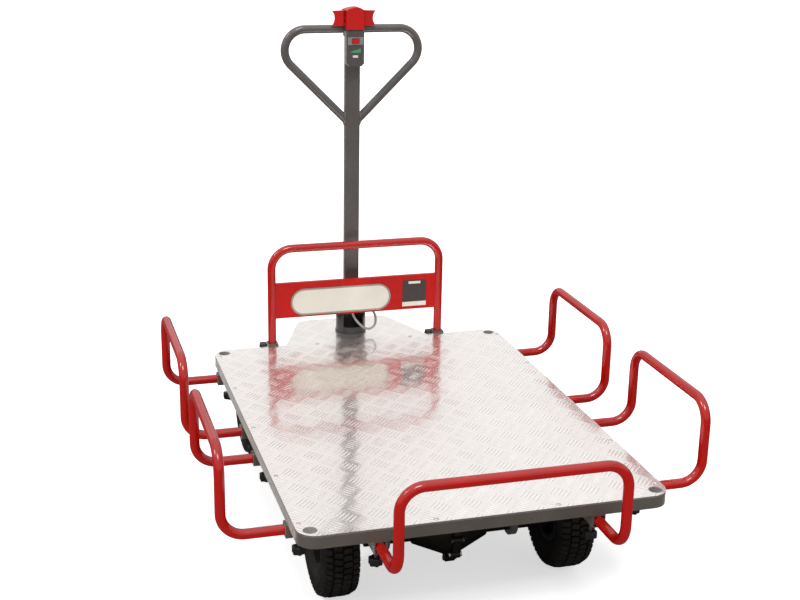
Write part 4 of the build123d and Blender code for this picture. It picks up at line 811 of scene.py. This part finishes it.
for end in (-1, 1):
    end_verts = [v for v in oval.verts if v.co.x * end > 0]
    bmesh.ops.translate(oval, vec=(end * (PLATE_HALF_LENGTH - PLATE_HALF_HEIGHT), 0, 0), verts=end_verts)
raised = bmesh.ops.extrude_face_region(oval, geom=oval.faces[:])["geom"]
bmesh.ops.translate(oval, vec=(0, 0, PLATE_THICKNESS), verts=verts_of(raised))
bmesh.ops.recalc_face_normals(oval, faces=oval.faces[:])
top_face = max(oval.faces, key=lambda f: f.calc_center_median().z)
for face in oval.faces:
    face.material_index = 1
bmesh.ops.inset_region(oval, faces=[top_face], thickness=RIM_WIDTH, depth=0.0)
bmesh.ops.inset_region(oval, faces=[top_face], thickness=RIM_SLOPE, depth=-RIM_DEPTH)
top_face.material_index = 0
bmesh.ops.transform(
    oval,
    matrix=Matrix.Translation((PLATE_X, PANEL_FACE_Y, PLATE_Z)) @ Matrix.Rotation(math.pi / 2, 4, "X"),
    verts=oval.verts[:],
)
finish_piece("headboard_oval_plate", oval, "headboard", "controller_alloy", plate_cream, plate_rim)
LABEL_X = 0.164
LABEL_WIDTH = 0.068
LABEL_THICKNESS = 0.0008
label_dark = coated("label_dark", shade(58, 48, 46), shade(44, 37, 36), 0.40, 400.0, 0.00002)
label_fields = [
    ("label_field", label_dark, 0.0, 0.4160, (LABEL_WIDTH, 0.062, LABEL_THICKNESS)),
    ("label_foot", plate_cream, 0.0, 0.3785, (LABEL_WIDTH, 0.0125, LABEL_THICKNESS)),
    ("label_head", plate_cream, LABEL_THICKNESS, 0.4400, (LABEL_WIDTH / 2, 0.007, 0.0003)),
]
for name, material, forward, field_z, size in label_fields:
    field_spot = (LABEL_X, PANEL_FACE_Y - forward, field_z)
    thin_plate(name, "headboard", "controller_alloy", material, field_spot, size)


# The star knobs: black moulded heads with six lobes on zinc studs. Ten hang under the sockets and clamp
# the rails, two stand sideways and clamp the headboard's legs.
KNOB_RADIUS = 0.0135
KNOB_LOBES = 6
KNOB_LOBE = 0.0015
KNOB_HEIGHT = 0.018
KNOB_ROUNDING = 0.0028
SOLE_RIM = 0.0024
SOLE_DEPTH = 0.0010
STUD_RADIUS = 0.004
STUD_ROOT = 0.001
knob_plastic = coated("knob_black", shade(30, 29, 29), shade(21, 20, 20), 0.44, 800.0, 0.00006)


def star_knob(name, spot, stud):
    """A knob whose stud ends at the spot, with the head below it."""
    shape = bmesh.new()
    sole_spot = Matrix.Translation((0, 0, -stud - KNOB_HEIGHT))
    bmesh.ops.create_circle(shape, cap_ends=True, segments=72, radius=KNOB_RADIUS, matrix=sole_spot)
    for v in shape.verts:
        swell = 1 - KNOB_LOBE / KNOB_RADIUS * math.cos(KNOB_LOBES * math.atan2(v.co.y, v.co.x))
        v.co.x *= swell
        v.co.y *= swell
    grown = bmesh.ops.extrude_face_region(shape, geom=shape.faces[:])["geom"]
    bmesh.ops.translate(shape, vec=(0, 0, KNOB_HEIGHT), verts=verts_of(grown))
    bmesh.ops.recalc_face_normals(shape, faces=shape.faces[:])
    rims = [e for e in shape.edges if abs(e.verts[0].co.z - e.verts[1].co.z) < 0.001]
    bmesh.ops.bevel(
        shape, geom=rims, offset=KNOB_ROUNDING, affect="EDGES", segments=3, profile=0.5, material=-1
    )
    sole = min(shape.faces, key=lambda f: f.calc_center_median().z)
    bmesh.ops.inset_region(shape, faces=[sole], thickness=SOLE_RIM, depth=-SOLE_DEPTH)
    head_faces = len(shape.faces)
    rod(shape, Matrix.Translation((0, 0, -stud - STUD_ROOT)), STUD_RADIUS, stud + STUD_ROOT, 20)
    shape.faces.ensure_lookup_table()
    for face in shape.faces[head_faces:]:
        face.material_index = 1
    bmesh.ops.transform(shape, matrix=spot, verts=shape.verts[:])
    piece = finish_piece(
        name + "_star", shape, name + "_body", "knob_black", knob_plastic, bolt_zinc, crease=40
    )
    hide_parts(name)


HANGING_TIP_Z = 0.2357
HANGING_STUD = 0.0287
SIDE_KNOB_X = 0.375
END_KNOB_Y = -0.541
LEG_X = 0.235
HEADBOARD_KNOB = (-0.0113, 0.536, 0.283)
HEADBOARD_STUD = 0.0047
side_knob_ys = (-0.456, -0.096, 0.062, 0.422)
for number, leg_y in enumerate(side_knob_ys, start=1):
    for side, side_name in ((-1, "left"), (1, "right")):
        hanging = Matrix.Translation((side * SIDE_KNOB_X, leg_y, HANGING_TIP_Z))
        star_knob(f"{side_name}_knob_{number}", hanging, HANGING_STUD)
for side, side_name in ((-1, "left"), (1, "right")):
    hanging = Matrix.Translation((side * LEG_X, END_KNOB_Y, HANGING_TIP_Z))
    star_knob("end_knob_" + side_name, hanging, HANGING_STUD)
    from_leg, knob_y, knob_z = HEADBOARD_KNOB
    sideways = Matrix.Translation((side * LEG_X + from_leg, knob_y, knob_z)) @ ALONG_X
    star_knob("headboard_knob_" + side_name, sideways, HEADBOARD_STUD)
